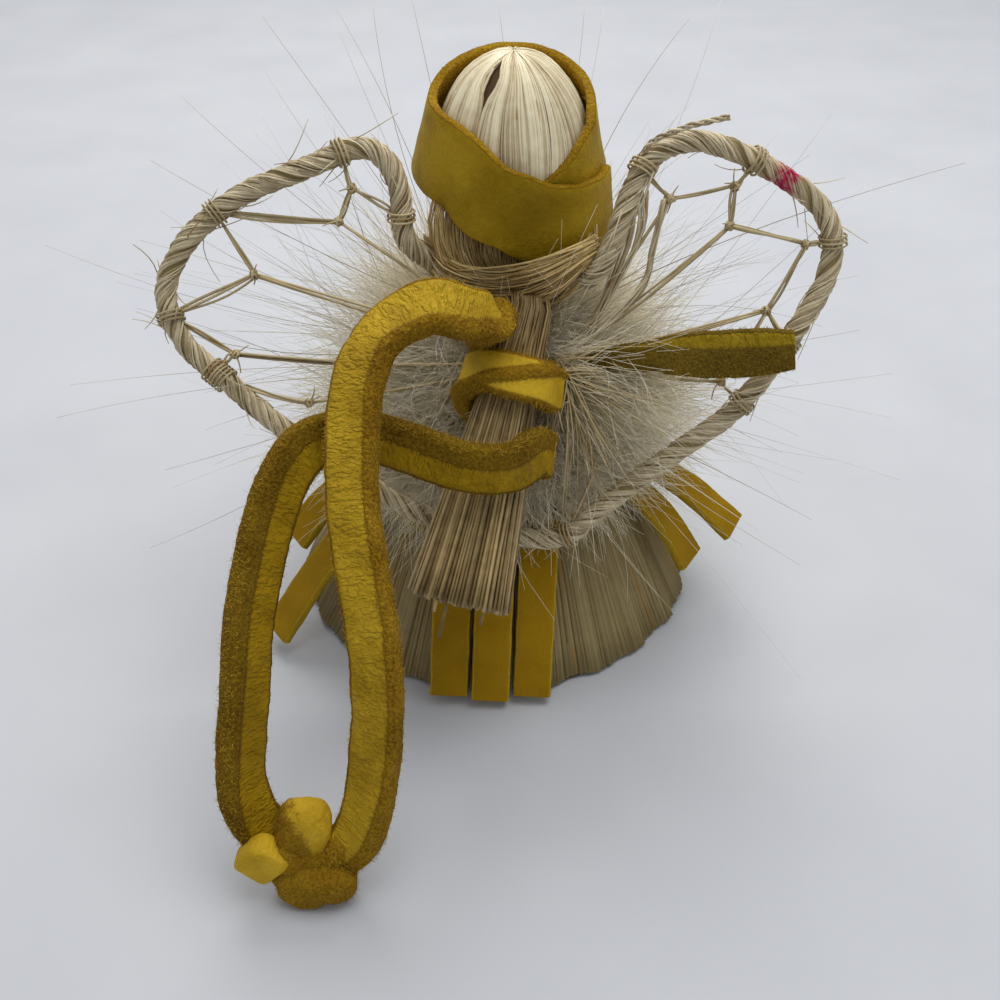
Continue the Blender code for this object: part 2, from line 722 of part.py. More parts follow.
def build_wing_web(straw):
    """Net of strands, knotted where they meet and ending on the hoop."""
    hub = hoop_place(*HUB_SHARES, pull=HUB_PULL)
    knots = {name: hoop_place(*shares) for name, shares in WEB_KNOT_SHARES.items()}
    knots["hub"] = hub
    line = hoop_line()
    inset = {name: KNOT_RADIUS * KNOT_INSET_SHARE for name in knots}
    inset["hub"] = HUB_RADIUS * KNOT_INSET_SHARE
    runs = []
    for a, b in WEB_STRANDS:
        way = (knots[b] - knots[a]).normalized()
        runs.append((knots[a] + way * inset[a], knots[b] - way * inset[b]))
    for name, shares in WEB_ANCHOR_SHARES:
        aim = hoop_place(*shares)
        ring_point = min(line, key=lambda point: (point - aim).length)
        place = line.index(ring_point)
        tangent = (line[place + 1] - line[place - 1]).normalized()
        way = (knots[name] - ring_point).normalized()
        lean = way.dot(tangent)
        off = (way - tangent * lean).normalized()
        end = ring_point + off * (HOOP_RADIUS + CLEARANCE + STRAND_RADIUS * abs(lean))
        way = (end - knots[name]).normalized()
        runs.append((knots[name] + way * inset[name], end))
    strip_root = Vector(SIDE_STRIP_ROUTE[0][0])
    way = (strip_root - hub).normalized()
    runs.append((hub + way * inset["hub"], strip_root - way * (CLEARANCE + STRAND_RADIUS)))
    sizes = Vector((HUB_RADIUS, HUB_RADIUS, HUB_RADIUS))
    base = ball("wing_web", hub, sizes, PARTS, straw, HUB_SEGMENTS, HUB_RINGS)
    pieces = []
    for i, (start, end) in enumerate(runs):
        strand = tube("web_strand_%02d" % i, (start, end), STRAND_RADIUS, straw, resolution=1)
        pieces.append(solid_from_curve(strand, GUIDES))
    sizes = Vector((KNOT_RADIUS, KNOT_RADIUS, KNOT_RADIUS))
    for name in WEB_KNOT_SHARES:
        knot = ball("web_knot_" + name, knots[name], sizes, GUIDES, straw, KNOT_SEGMENTS, KNOT_RINGS)
        pieces.append(knot)
    return join_solids(base, pieces)


def fluff_share(angle):
    """Return how far the fur fluffs out at an angle: not at all behind, and fully elsewhere."""
    share = (math.sin(angle) - FUR_TIGHT_SHARE) / (FUR_LOOSE_SHARE - FUR_TIGHT_SHARE)
    return wave(math.pi * min(max(share, 0.0), 1.0))


def build_fur_wrap(fur):
    """Soft tufted collar of fur that hugs the torso and flares round its sides and front."""
    rings = []
    height_range = FUR_TOP - FUR_BOTTOM
    for row, (up, out, more_out, more_up) in enumerate(FUR_OUTLINE_SHARES):
        height = FUR_BOTTOM + height_range * up
        centre = body_centre(height)
        phase = row * FUR_TUFT_PHASE
        ring = round_ring(centre, FUR_REACH * out, FUR_SEGMENTS, FUR_TUFT_DEPTH, FUR_TUFTS, phase)
        for i, corner in enumerate(ring):
            fluff = fluff_share(FULL_TURN * i / FUR_SEGMENTS)
            outward = (corner - centre).normalized()
            corner += outward * (FUR_FLUFF_OUT * more_out * fluff) + UP * (FUR_FLUFF_UP * more_up * fluff)
        rings.append(ring)
    for i in range(FUR_INNER_RINGS):
        height = FUR_TOP - height_range * i / (FUR_INNER_RINGS - 1)
        radius = body_radius(height) + CLEARANCE
        rings.append(round_ring(body_centre(height), radius, FUR_SEGMENTS))
    return finish_mesh("fur_wrap", loft(rings, closed=True), fur)


def build_waist_band(leather):
    """Leather band round the skirt below the fur, cut to the skirt's slope."""
    rings = []
    for height, extra in (
        (WAIST_BOTTOM, CLEARANCE),
        (WAIST_BOTTOM, CLEARANCE + WAIST_THICKNESS),
        (WAIST_TOP, CLEARANCE + WAIST_THICKNESS),
        (WAIST_TOP, CLEARANCE),
    ):
        radius = body_radius(height) + extra
        rings.append(round_ring(body_centre(height), radius, FLUTE_COUNT * 2))
    return finish_mesh("waist_band", loft(rings, closed=True), leather)


def build_fringe_strip(name, leather):
    """One hanging strip, flat against the waist band at its top and free at its end."""
    offset_share, reach_share, height_share = FRINGE_SHARES[name]
    offset = STRIP_WIDTH * offset_share
    azimuth = math.radians(FRINGE_DEGREES[name])
    outward = Vector((math.sin(azimuth), -math.cos(azimuth), 0.0))
    side = Vector((math.cos(azimuth), math.sin(azimuth), 0.0))
    seat = body_radius(STRIP_TOP) + CLEARANCE + WAIST_THICKNESS
    near_edge = max(abs(offset) - STRIP_WIDTH / 2.0, 0.0)
    seat = math.sqrt(seat ** 2 - near_edge ** 2) + CLEARANCE + STRIP_THICKNESS / 2.0
    top = body_centre(STRIP_TOP) + side * offset + outward * seat
    end = UP * (STRIP_TOP * height_share) + side * offset + outward * (HEM_RADIUS * reach_share)
    fall = (end - top).normalized()
    face = side.cross(fall)
    if face.dot(outward) < 0.0:
        face.negate()
    middle = (top + end) / 2.0 + face * STRIP_BULGE
    rows = [(top, face), (middle, face), (end, face)]
    points, faces = smooth_route(rows, STRIP_STEPS)
    made = finish_mesh(name, strap(points, faces, STRIP_WIDTH, STRIP_THICKNESS), leather)
    set_origin(made, top)


def build_side_strip(leather):
    """Short strip end that stands out in front of the right wing."""
    points, faces = smooth_route(SIDE_STRIP_ROUTE, SIDE_STRIP_POINTS)
    body = strap(points, faces, SIDE_STRIP_WIDTH, SIDE_STRIP_THICKNESS)
    made = finish_mesh("side_strip", body, leather)
    set_origin(made, points[0])


def ponytail_frame():
    """Return the hanging part's direction, its front and its right side."""
    along = (PONYTAIL_END - PONYTAIL_TOP).normalized()
    side = (RIGHT - along * RIGHT.dot(along)).normalized()
    front = along.cross(side)
    if front.y > 0.0:
        front.negate()
    return along, front, side


def ponytail_radius(share):
    """Return the radius of the hanging part at a share of its length."""
    return PONYTAIL_TOP_RADIUS + (PONYTAIL_END_RADIUS - PONYTAIL_TOP_RADIUS) * share


def bundle_ring(centre, side, front, radius, flat, depth):
    """Return one fluted section of the ponytail."""
    ring = []
    for i in range(SEGMENTS_ROUND):
        angle = FULL_TURN * i / SEGMENTS_ROUND
        reach = radius - depth * wave(PONYTAIL_FLUTES * angle)
        across = side * (math.cos(angle) * reach)
        ring.append(centre + across + front * (math.sin(angle) * reach * flat))
    return ring


def build_ponytail(straw):
    """Fluted bundle that bends out of the neck and widens down to a flat cut."""
    along, front, side = ponytail_frame()
    bend = [PONYTAIL_ROOT, PONYTAIL_CREST, PONYTAIL_TOP]
    step = PONYTAIL_END - PONYTAIL_TOP
    rings = []
    for i in range(PONYTAIL_BEND_STEPS):
        share = i / PONYTAIL_BEND_STEPS
        place = blend_points(bend, share)
        ahead = blend_points(bend, share + 1.0 / PONYTAIL_BEND_STEPS)
        travel = (ahead - place).normalized()
        level = (side - travel * side.dot(travel)).normalized()
        radius = PONYTAIL_ROOT_RADIUS + (PONYTAIL_TOP_RADIUS - PONYTAIL_ROOT_RADIUS) * share
        rings.append(bundle_ring(place, level, level.cross(travel), radius, 1.0, 0.0))
    for i in range(PONYTAIL_STEPS + 1):
        share = i / PONYTAIL_STEPS
        late = max((share - PONYTAIL_FLAT_FROM_SHARE) / (1.0 - PONYTAIL_FLAT_FROM_SHARE), 0.0)
        flat = 1.0 - (1.0 - PONYTAIL_FLAT_SHARE) * late
        depth = PONYTAIL_FLUTE_DEPTH * min(share * PONYTAIL_FLUTE_FADE, 1.0)
        place = PONYTAIL_TOP + step * share
        rings.append(bundle_ring(place, side, side.cross(along), ponytail_radius(share), flat, depth))
    made = finish_mesh("ponytail", loft(rings), straw)
    set_origin(made, PONYTAIL_PIVOT)


def wrap_place(angle):
    """Return a place and face direction on the thong's turns round the ponytail."""
    along, front, side = ponytail_frame()
    climb = [RIGHT * share for share in WRAP_ALONG_SHARES]
    share = blend_points(climb, (angle - WRAP_START) / WRAP_TURN).x
    slope = (PONYTAIL_END_RADIUS - PONYTAIL_TOP_RADIUS) / (PONYTAIL_END - PONYTAIL_TOP).length
    outward = front * math.cos(angle) + side * math.sin(angle)
    centre = PONYTAIL_TOP + (PONYTAIL_END - PONYTAIL_TOP) * share
    reach = ponytail_radius(share) + CLEARANCE + THONG_THICKNESS / 2.0
    return centre + outward * reach, outward - along * slope


def build_thong_wrap(leather):
    """The thong's turns, hitched round the ponytail."""
    rows = [wrap_place(WRAP_START + WRAP_TURN * i / (WRAP_STEPS - 1)) for i in range(WRAP_STEPS)]
    points = [row[0] for row in rows]
    faces = [row[1] for row in rows]
    made = finish_mesh("thong_wrap", strap(points, faces, WRAP_WIDTH, THONG_THICKNESS), leather)
    set_origin(made, PONYTAIL_TOP)


def build_loop(leather):
    """The two free runs of the thong that make the hanging loop."""
    wrap_end = WRAP_START + WRAP_TURN
    lead = (wrap_place(wrap_end + WRAP_GAP),)
    points, faces = smooth_route(lead + FRONT_RUN_ROUTE, RUN_POINTS)
    shape = strap(points, faces, THONG_WIDTH, THONG_THICKNESS)
    front_run = finish_mesh("loop_front_run", shape, leather)
    lead = (wrap_place(WRAP_START - WRAP_GAP), wrap_place(WRAP_START - WRAP_GAP * WRAP_LEAD_GAPS))
    points, faces = smooth_route(lead + BACK_RUN_ROUTE, RUN_POINTS)
    shape = strap(points, faces, THONG_WIDTH, THONG_THICKNESS)
    back_run = finish_mesh("loop_back_run", shape, leather)
    for made in (front_run, back_run):
        set_origin(made, PONYTAIL_TOP)


def build_loop_knot(leather):
    """Overhand knot that closes the loop: a turn over a core, a lobe above and a cut stub."""
    points = []
    faces = []
    for i in range(KNOT_TURN_STEPS):
        angle = FULL_TURN * i / KNOT_TURN_STEPS
        outward = Vector((0.0, math.cos(angle), math.sin(angle)))
        points.append(KNOT_CENTRE + outward * KNOT_TURN_RADIUS)
        faces.append(outward)
    turn = strap(points, faces, THONG_WIDTH, THONG_THICKNESS, closed=True)
    base = ball("loop_knot", KNOT_CENTRE, KNOT_CORE, PARTS, leather, BALL_SEGMENTS, BALL_RINGS)
    turn_made = finish_mesh("knot_turn", turn, leather)
    lobe_place = KNOT_CENTRE + KNOT_LOBE_OFFSET
    lobe = ball("knot_lobe", lobe_place, KNOT_LOBE, GUIDES, leather, BALL_SEGMENTS, BALL_RINGS)
    points, faces = smooth_route(KNOT_STUB_ROUTE, KNOT_STUB_POINTS)
    shape = strap(points, faces, KNOT_STUB_WIDTH, KNOT_STUB_THICKNESS)
    stub = finish_mesh("knot_stub", shape, leather)
    for guide in (turn_made, stub):
        PARTS.objects.unlink(guide)
        GUIDES.objects.link(guide)
    join_solids(base, (turn_made, lobe, stub))
    set_origin(base, PONYTAIL_TOP)


def build_doll():
    """Build every piece of the doll."""
    straw = principled("straw", STRAW_COLOUR, STRAW_ROUGHNESS)
    pale = principled("pale_wad", PALE_COLOUR, PALE_ROUGHNESS)
    leather = principled("gold_leather", LEATHER_COLOUR, LEATHER_ROUGHNESS)
    fur = principled("white_fur", FUR_COLOUR, FUR_ROUGHNESS)
    build_body_bundle(straw)
    build_head(straw, pale)
    build_headband(leather)
    build_neck_tie(straw)
    build_wing_hoop(straw)
    build_wing_web(straw)
    build_fur_wrap(fur)
    build_waist_band(leather)
    for name in FRINGE_SHARES:
        build_fringe_strip(name, leather)
    build_side_strip(leather)
    build_ponytail(straw)
    build_thong_wrap(leather)
    build_loop(leather)
    build_loop_knot(leather)


clear_scene()
PARTS = new_collection("corn_husk_doll")
GUIDES = new_collection("guides")
build_doll()
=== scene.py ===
"""Finishes for the corn husk doll: combed fibre, suede thong, fur and a netted wing hoop."""
import json
import math

import bmesh
import bpy
import numpy as np
from mathutils import Matrix, Vector, noise
from mathutils.bvhtree import BVHTree

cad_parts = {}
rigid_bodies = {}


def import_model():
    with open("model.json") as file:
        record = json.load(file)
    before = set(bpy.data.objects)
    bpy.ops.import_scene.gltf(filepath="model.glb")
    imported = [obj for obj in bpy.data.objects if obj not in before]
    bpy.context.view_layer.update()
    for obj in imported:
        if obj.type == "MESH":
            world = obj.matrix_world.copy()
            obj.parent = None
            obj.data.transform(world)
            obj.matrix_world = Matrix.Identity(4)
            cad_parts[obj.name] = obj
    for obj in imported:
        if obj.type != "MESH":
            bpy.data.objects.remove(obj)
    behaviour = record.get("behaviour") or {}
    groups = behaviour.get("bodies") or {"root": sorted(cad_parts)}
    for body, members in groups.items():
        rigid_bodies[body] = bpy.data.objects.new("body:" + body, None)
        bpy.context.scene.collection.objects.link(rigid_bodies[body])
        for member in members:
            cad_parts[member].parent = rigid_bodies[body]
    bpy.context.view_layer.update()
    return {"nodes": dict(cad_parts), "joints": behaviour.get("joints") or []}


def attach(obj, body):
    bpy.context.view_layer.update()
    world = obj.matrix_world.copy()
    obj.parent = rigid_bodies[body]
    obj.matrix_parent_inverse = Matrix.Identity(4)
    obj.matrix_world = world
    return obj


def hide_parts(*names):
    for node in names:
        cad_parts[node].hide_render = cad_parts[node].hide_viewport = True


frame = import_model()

FULL_TURN = 2.0 * math.pi
UP = Vector((0.0, 0.0, 1.0))
RIGHT = Vector((1.0, 0.0, 0.0))


def mm(x, y, z):
    """A place given in millimetres."""
    return Vector((x, y, z)) * 0.001


def held(value, low=0.0, high=1.0):
    """A value kept between two limits."""
    return min(max(value, low), high)


def level_way(turn):
    """Level direction at a turn from +X."""
    return Vector((math.cos(turn), math.sin(turn), 0.0))


def bump_at(value, centre, spread):
    """A smooth bump of height 1 at centre."""
    return math.exp(-((value - centre) / spread) ** 2)


# Camera at the photograph's place: behind and above the doll
CAMERA_PLACE = mm(0.62, -114.34, 92.89)
CAMERA_TILT = math.radians(53.75)
LENS = 43.2
SENSOR = 36.0
lens_data = bpy.data.cameras.new("camera")
lens_data.lens = LENS
lens_data.sensor_width = SENSOR
lens_data.clip_start = 0.001
camera = bpy.data.objects.new("camera", lens_data)
camera.location = CAMERA_PLACE
camera.rotation_euler = (CAMERA_TILT, 0.0, 0.0)
bpy.context.collection.objects.link(camera)
bpy.context.scene.camera = camera
bpy.context.scene.view_settings.view_transform = "Standard"


def seen(across, down, depth):
    """The place on the upright plane y = depth (mm) that shows at a pixel of the 1000 square frame."""
    focal = LENS / SENSOR
    ahead = Vector((0.0, math.sin(CAMERA_TILT), -math.cos(CAMERA_TILT)))
    above = Vector((0.0, math.cos(CAMERA_TILT), math.sin(CAMERA_TILT)))
    ray = ahead * focal + RIGHT * (across / 1000.0 - 0.5) + above * (0.5 - down / 1000.0)
    return CAMERA_PLACE + ray * ((depth * 0.001 - CAMERA_PLACE.y) / ray.y)


# Routes and sizes repeated from the CAD source
def blend_points(rows, share):
    """Read a smooth curve through rows at a share of its length in rows."""
    last = len(rows) - 1
    place = held(share) * last
    k = min(int(place), last - 1)
    t = place - k
    p1 = rows[k]
    p2 = rows[k + 1]
    p0 = rows[k - 1] if k > 0 else p1 * 2.0 - p2
    p3 = rows[k + 2] if k + 2 <= last else p2 * 2.0 - p1
    return 0.5 * (
        p1 * 2.0
        + (p2 - p0) * t
        + (p0 * 2.0 - p1 * 5.0 + p2 * 4.0 - p3) * t ** 2
        + (p1 * 3.0 - p0 - p2 * 3.0 + p3) * t ** 3
    )


def even_shares(rows, count):
    """Shares that give evenly spaced points along the curve through rows."""
    fine = (len(rows) - 1) * 24
    spots = [blend_points(rows, i / fine) for i in range(fine + 1)]
    lengths = np.cumsum([0.0] + [(b - a).length for a, b in zip(spots, spots[1:])])
    wanted = np.linspace(0.0, lengths[-1], count)
    return np.interp(wanted, lengths, np.linspace(0.0, 1.0, fine + 1))


def curve_through(rows, count):
    """Evenly spaced points along the curve through rows."""
    return [blend_points(rows, share) for share in even_shares(rows, count)]


def leather_route(rows, count):
    """Evenly spaced points and face directions along a leather route."""
    places = [Vector(row[0]) for row in rows]
    faces = [Vector(row[1]) for row in rows]
    shares = even_shares(places, count)
    return [blend_points(places, s) for s in shares], [blend_points(faces, s) for s in shares]


def heading(points, closed=False):
    """Unit direction of travel at each point."""
    count = len(points)
    found = []
    for i in range(count):
        before = points[i - 1] if closed or i > 0 else points[0]
        after = points[(i + 1) % count] if closed or i < count - 1 else points[-1]
        found.append((after - before).normalized())
    return found


def route_length(points):
    """Length along the points."""
    return sum((b - a).length for a, b in zip(points, points[1:]))


PONYTAIL_ROOT = mm(1.9, -5.7, 39.7)
PONYTAIL_CREST = mm(2.8, -8.6, 41.1)
PONYTAIL_TOP = mm(3.45, -12.0, 40.3)
PONYTAIL_END = mm(-3.3, -28.0, 17.6)
PONYTAIL_TOP_RADIUS = 0.00185
PONYTAIL_END_RADIUS = 0.0051
THONG_WIDTH = 0.0046
THONG_THICKNESS = 0.0020
WRAP_WIDTH = 0.0042
WRAP_START = math.radians(80)
WRAP_TURN = math.radians(510)
WRAP_ALONG_SHARES = (0.46, 0.44, 0.33, 0.25, 0.238, 0.243, 0.19, 0.12)
WRAP_GAP = math.radians(9)
CLEARANCE = 0.0003
FRONT_RUN_ROUTE = (
    ((-0.0006, -0.0150, 0.0400), (-0.30, -0.45, 0.80)),
    ((-0.0001, -0.0178, 0.0422), (-0.10, -0.68, 0.70)),
    ((-0.0022, -0.0199, 0.0439), (-0.05, -0.62, 0.78)),
    ((-0.0053, -0.0207, 0.0450), (-0.15, -0.50, 0.85)),
    ((-0.0081, -0.0213, 0.0440), (-0.45, -0.40, 0.80)),
    ((-0.0104, -0.0231, 0.0424), (-0.65, -0.50, 0.57)),
    ((-0.0116, -0.0256, 0.0400), (-0.52, -0.65, 0.54)),
    ((-0.0119, -0.0286, 0.0373), (-0.42, -0.74, 0.52)),
    ((-0.0118, -0.0330, 0.0331), (-0.35, -0.78, 0.50)),
    ((-0.0109, -0.0370, 0.0289), (-0.35, -0.80, 0.45)),
    ((-0.0100, -0.0403, 0.0241), (-0.38, -0.82, 0.38)),
    ((-0.0097, -0.0428, 0.0195), (-0.42, -0.85, 0.30)),
    ((-0.0101, -0.0448, 0.0144), (-0.45, -0.85, 0.20)),
    ((-0.0110, -0.0464, 0.0094), (-0.50, -0.80, 0.10)),
    ((-0.0124, -0.0469, 0.0060), (-0.50, -0.82, -0.05)),
    ((-0.0148, -0.0470, 0.0038), (-0.35, -0.90, -0.05)),
)
BACK_RUN_ROUTE = (
    ((0.0017, -0.0252, 0.0312), (0.25, -0.94, 0.20)),
    ((-0.0016, -0.0264, 0.0319), (0.00, -0.98, 0.15)),
    ((-0.0045, -0.0260, 0.0325), (0.00, -0.97, 0.20)),
    ((-0.0074, -0.0253, 0.0333), (0.00, -0.97, 0.22)),
    ((-0.0102, -0.0248, 0.0340), (0.05, -0.95, 0.25)),
    ((-0.0128, -0.0251, 0.0346), (0.10, -0.93, 0.30)),
    ((-0.0154, -0.0262, 0.0347), (0.20, -0.90, 0.35)),
    ((-0.0173, -0.0280, 0.0338), (0.35, -0.84, 0.35)),
    ((-0.0188, -0.0306, 0.0316), (0.50, -0.78, 0.30)),
    ((-0.0200, -0.0340, 0.0279), (0.62, -0.72, 0.22)),
    ((-0.0209, -0.0376, 0.0237), (0.70, -0.68, 0.15)),
    ((-0.0212, -0.0406, 0.0195), (0.74, -0.65, 0.10)),
    ((-0.0217, -0.0431, 0.0148), (0.75, -0.65, 0.05)),
    ((-0.0218, -0.0449, 0.0108), (0.75, -0.65, 0.00)),
    ((-0.0208, -0.0458, 0.0076), (0.60, -0.78, 0.10)),
    ((-0.0189, -0.0463, 0.0054), (0.40, -0.88, 0.15)),
)


def ponytail_frame():
    """The hanging part's direction, its front and its right side."""
    along = (PONYTAIL_END - PONYTAIL_TOP).normalized()
    side = (RIGHT - along * RIGHT.dot(along)).normalized()
    front = along.cross(side)
    if front.y > 0.0:
        front.negate()
    return along, front, side


def ponytail_radius(share):
    """Radius of the hanging part at a share of its length."""
    return PONYTAIL_TOP_RADIUS + (PONYTAIL_END_RADIUS - PONYTAIL_TOP_RADIUS) * share


def wrap_place(angle):
    """Place and face direction on the thong's turns round the ponytail."""
    along, front, side = ponytail_frame()
    climb = [RIGHT * share for share in WRAP_ALONG_SHARES]
    share = blend_points(climb, (angle - WRAP_START) / WRAP_TURN).x
    slope = (PONYTAIL_END_RADIUS - PONYTAIL_TOP_RADIUS) / (PONYTAIL_END - PONYTAIL_TOP).length
    outward = front * math.cos(angle) + side * math.sin(angle)
    centre = PONYTAIL_TOP + (PONYTAIL_END - PONYTAIL_TOP) * share
    reach = ponytail_radius(share) + CLEARANCE + THONG_THICKNESS / 2.0
    return centre + outward * reach, outward - along * slope


# Shader helpers and shared effects
def put(tree, kind, feeds=None, **settings):
    """Add a node with its settings, and feed its sockets with values or links."""
    made = tree.nodes.new(kind)
    for name, value in settings.items():
        setattr(made, name, value)
    for name, value in (feeds or {}).items():
        socket = made.inputs[name]
        if isinstance(value, bpy.types.NodeSocket):
            tree.links.new(value, socket)
        else:
            socket.default_value = value
    return made


def blend_colour(tree, factor, low, high):
    """Mix two colours by a factor; each is a value or a link."""
    return put(tree, "ShaderNodeMix", {0: factor, 6: low, 7: high}, data_type="RGBA").outputs[2]


def sums(tree, operation, *values):
    """One Math node."""
    made = put(tree, "ShaderNodeMath", dict(enumerate(values)), operation=operation)
    return made.outputs[0]


def span(tree, value, low, high, to_low=0.0, to_high=1.0):
    """Map a value from one range to another, held at both ends."""
    feeds = {"Value": value, "From Min": low, "From Max": high, "To Min": to_low, "To Max": to_high}
    return put(tree, "ShaderNodeMapRange", feeds, clamp=True).outputs["Result"]


def object_place(tree):
    """Place on the piece, in its own axes."""
    return put(tree, "ShaderNodeTexCoord").outputs["Object"]


def noise_on(tree, place, scale, detail=2.0):
    """One Noise Texture node."""
    return put(tree, "ShaderNodeTexNoise", {"Vector": place, "Scale": scale, "Detail": detail}).outputs["Fac"]


def new_effect(name, takes, gives):
    """Start a shader node group whose inputs and outputs are named with their kinds."""
    tree = bpy.data.node_groups.new(name, "ShaderNodeTree")
    for way, sockets in (("INPUT", takes), ("OUTPUT", gives)):
        for label, kind in sockets.items():
            tree.interface.new_socket(name=label, in_out=way, socket_type="NodeSocket" + kind)
    return tree, tree.nodes.new("NodeGroupInput").outputs, tree.nodes.new("NodeGroupOutput").inputs


def make_fibre_tone():
    """Colour of split grass: each strand has its own tone, with streaks and a few stains."""
    takes = {"Pale": "Color", "Deep": "Color", "Stain": "Color", "Stained": "Float"}
    tree, given, result = new_effect("fibre_tone", takes, {"Colour": "Color", "Height": "Float"})
    strand = put(tree, "ShaderNodeAttribute", attribute_name="strand").outputs["Fac"]
    place = object_place(tree)
    streak = noise_on(tree, place, 900.0, 3.0)
    drift = noise_on(tree, place, 160.0)
    mixed = sums(tree, "MULTIPLY_ADD", strand, 0.62, sums(tree, "MULTIPLY", streak, 0.55))
    plain = blend_colour(tree, span(tree, mixed, 0.12, 0.98), given["Deep"], given["Pale"])
    lucky = sums(tree, "FRACT", sums(tree, "MULTIPLY", strand, 7.31))
    picked = sums(tree, "GREATER_THAN", lucky, sums(tree, "SUBTRACT", 1.0, given["Stained"]))
    stained = sums(tree, "MULTIPLY", picked, span(tree, drift, 0.42, 0.6))
    tree.links.new(blend_colour(tree, stained, plain, given["Stain"]), result["Colour"])
    tree.links.new(streak, result["Height"])
    return tree


def make_hide_grain():
    """Wrinkled face and rough nap of a thick garment leather, laid out in strip millimetres, with painted shade in
    its creases and along the groove where the face meets the nap.
    """
    takes = {"Face": "Color", "Shade": "Color", "Nap": "Color", "Nap Light": "Color", "Creases": "Float"}
    gives = {"Colour": "Color", "Roughness": "Float", "Height": "Float"}
    tree, given, result = new_effect("hide_grain", takes, gives)
    suede = put(tree, "ShaderNodeAttribute", attribute_name="suede").outputs["Fac"]
    strip = put(tree, "ShaderNodeAttribute", attribute_name="strip").outputs["Vector"]
    place = object_place(tree)
    patches = noise_on(tree, place, 260.0, 4.0)
    pores = noise_on(tree, place, 3600.0, 3.0)
    across = put(tree, "ShaderNodeVectorMath", {0: strip, 1: (1.0, 0.42, 1.0)}, operation="MULTIPLY").outputs[0]
    creases = []
    for scale, width in ((1.7, 0.11), (0.7, 0.075)):
        ridge = sums(tree, "ABSOLUTE", sums(tree, "SUBTRACT", noise_on(tree, across, scale, 2.5), 0.5))
        creases.append(span(tree, ridge, 0.0, width))
    lines = sums(tree, "MULTIPLY", *creases)
    open_lines = sums(tree, "SUBTRACT", 1.0, lines)
    # Painted shade: the face darkens along the creases, as far as Creases asks; patches and pores add the leather's
    # own mottling
    dark = sums(tree, "MULTIPLY", open_lines, sums(tree, "MULTIPLY", given["Creases"], 0.17))
    crease_shade_and_mottle = sums(tree, "MAXIMUM", dark, span(tree, patches, 0.60, 0.36, 0.0, 0.6))
    crease_shade_and_mottle = sums(tree, "ADD", crease_shade_and_mottle, span(tree, pores, 0.62, 0.38, 0.0, 0.22))
    face = blend_colour(tree, crease_shade_and_mottle, given["Face"], given["Shade"])
    speckle = sums(tree, "ADD", span(tree, pores, 0.36, 0.68, 0.0, 0.6), span(tree, patches, 0.35, 0.65, 0.0, 0.4))
    nap = blend_colour(tree, speckle, given["Nap"], given["Nap Light"])
    torn = sums(tree, "ADD", suede, span(tree, pores, 0.3, 0.7, -0.2, 0.2))
    rough_side = span(tree, torn, 0.35, 0.65)
    both = blend_colour(tree, rough_side, face, nap)
    # Painted shade: a dark line in the groove where the smooth face meets the rough side
    groove_shade = span(tree, sums(tree, "ABSOLUTE", sums(tree, "SUBTRACT", torn, 0.45)), 0.32, 0.05, 0.0, 0.55)
    tree.links.new(blend_colour(tree, groove_shade, both, given["Nap"]), result["Colour"])
    tree.links.new(span(tree, rough_side, 0.0, 1.0, 0.56, 0.96), result["Roughness"])
    low = sums(tree, "MULTIPLY_ADD", lines, given["Creases"], sums(tree, "MULTIPLY", pores, 0.8))
    high = sums(tree, "MULTIPLY", pores, 3.2)
    height = put(tree, "ShaderNodeMix", {0: rough_side, 2: low, 3: high}, data_type="FLOAT")
    tree.links.new(height.outputs[0], result["Height"])
    return tree


FIBRE_TONE = make_fibre_tone()
HIDE_GRAIN = make_hide_grain()


# How deep the fibres' streaks and the hide's creases are
FIBRE_RELIEF = 0.3
FIBRE_RELIEF_DEPTH = 0.00006
HIDE_RELIEF_DEPTH = 0.00024
STAIN = (0.35, 0.2, 0.05, 1.0)


def new_finish(name, sockets):
    """A material with its shader's own sockets set."""
    made = bpy.data.materials.new(name)
    made.use_nodes = True
    shader = made.node_tree.nodes["Principled BSDF"]
    for label, value in sockets.items():
        shader.inputs[label].default_value = value
    return made, made.node_tree, shader


def rgba(colour):
    """A colour with full cover."""
    return (*colour, 1.0)


def effect_finish(name, effect, feeds, relief, depth, sockets):
    """A material whose colour and relief, and roughness where it gives one, come from an effect."""
    made, tree, shader = new_finish(name, sockets)
    source = put(tree, "ShaderNodeGroup", feeds, node_tree=effect).outputs
    bump = put(tree, "ShaderNodeBump", {"Strength": relief, "Distance": depth, "Height": source["Height"]})
    tree.links.new(source["Colour"], shader.inputs["Base Color"])
    if "Roughness" in source:
        tree.links.new(source["Roughness"], shader.inputs["Roughness"])
    tree.links.new(bump.outputs["Normal"], shader.inputs["Normal"])
    return made


def fibre_finish(name, pale, deep, stained=0.06, roughness=0.5, sheen=0.0):
    """Grass fibre in one tone range."""
    feeds = {"Pale": rgba(pale), "Deep": rgba(deep), "Stain": STAIN, "Stained": stained}
    sockets = {"Roughness": roughness, "Specular IOR Level": 0.35, "Sheen Weight": sheen}
    return effect_finish(name, FIBRE_TONE, feeds, FIBRE_RELIEF, FIBRE_RELIEF_DEPTH, sockets)


def hide_finish(name, face, shade, nap, nap_light, creases=1.0, relief=0.7):
    """Leather with a creased face and a rough nap; creases sets how deep the creases are and how much painted shade
    lies in them.
    """
    feeds = {"Face": rgba(face), "Shade": rgba(shade), "Nap": rgba(nap), "Nap Light": rgba(nap_light)}
    feeds["Creases"] = creases
    return effect_finish(name, HIDE_GRAIN, feeds, relief, HIDE_RELIEF_DEPTH, {"Specular IOR Level": 0.09})


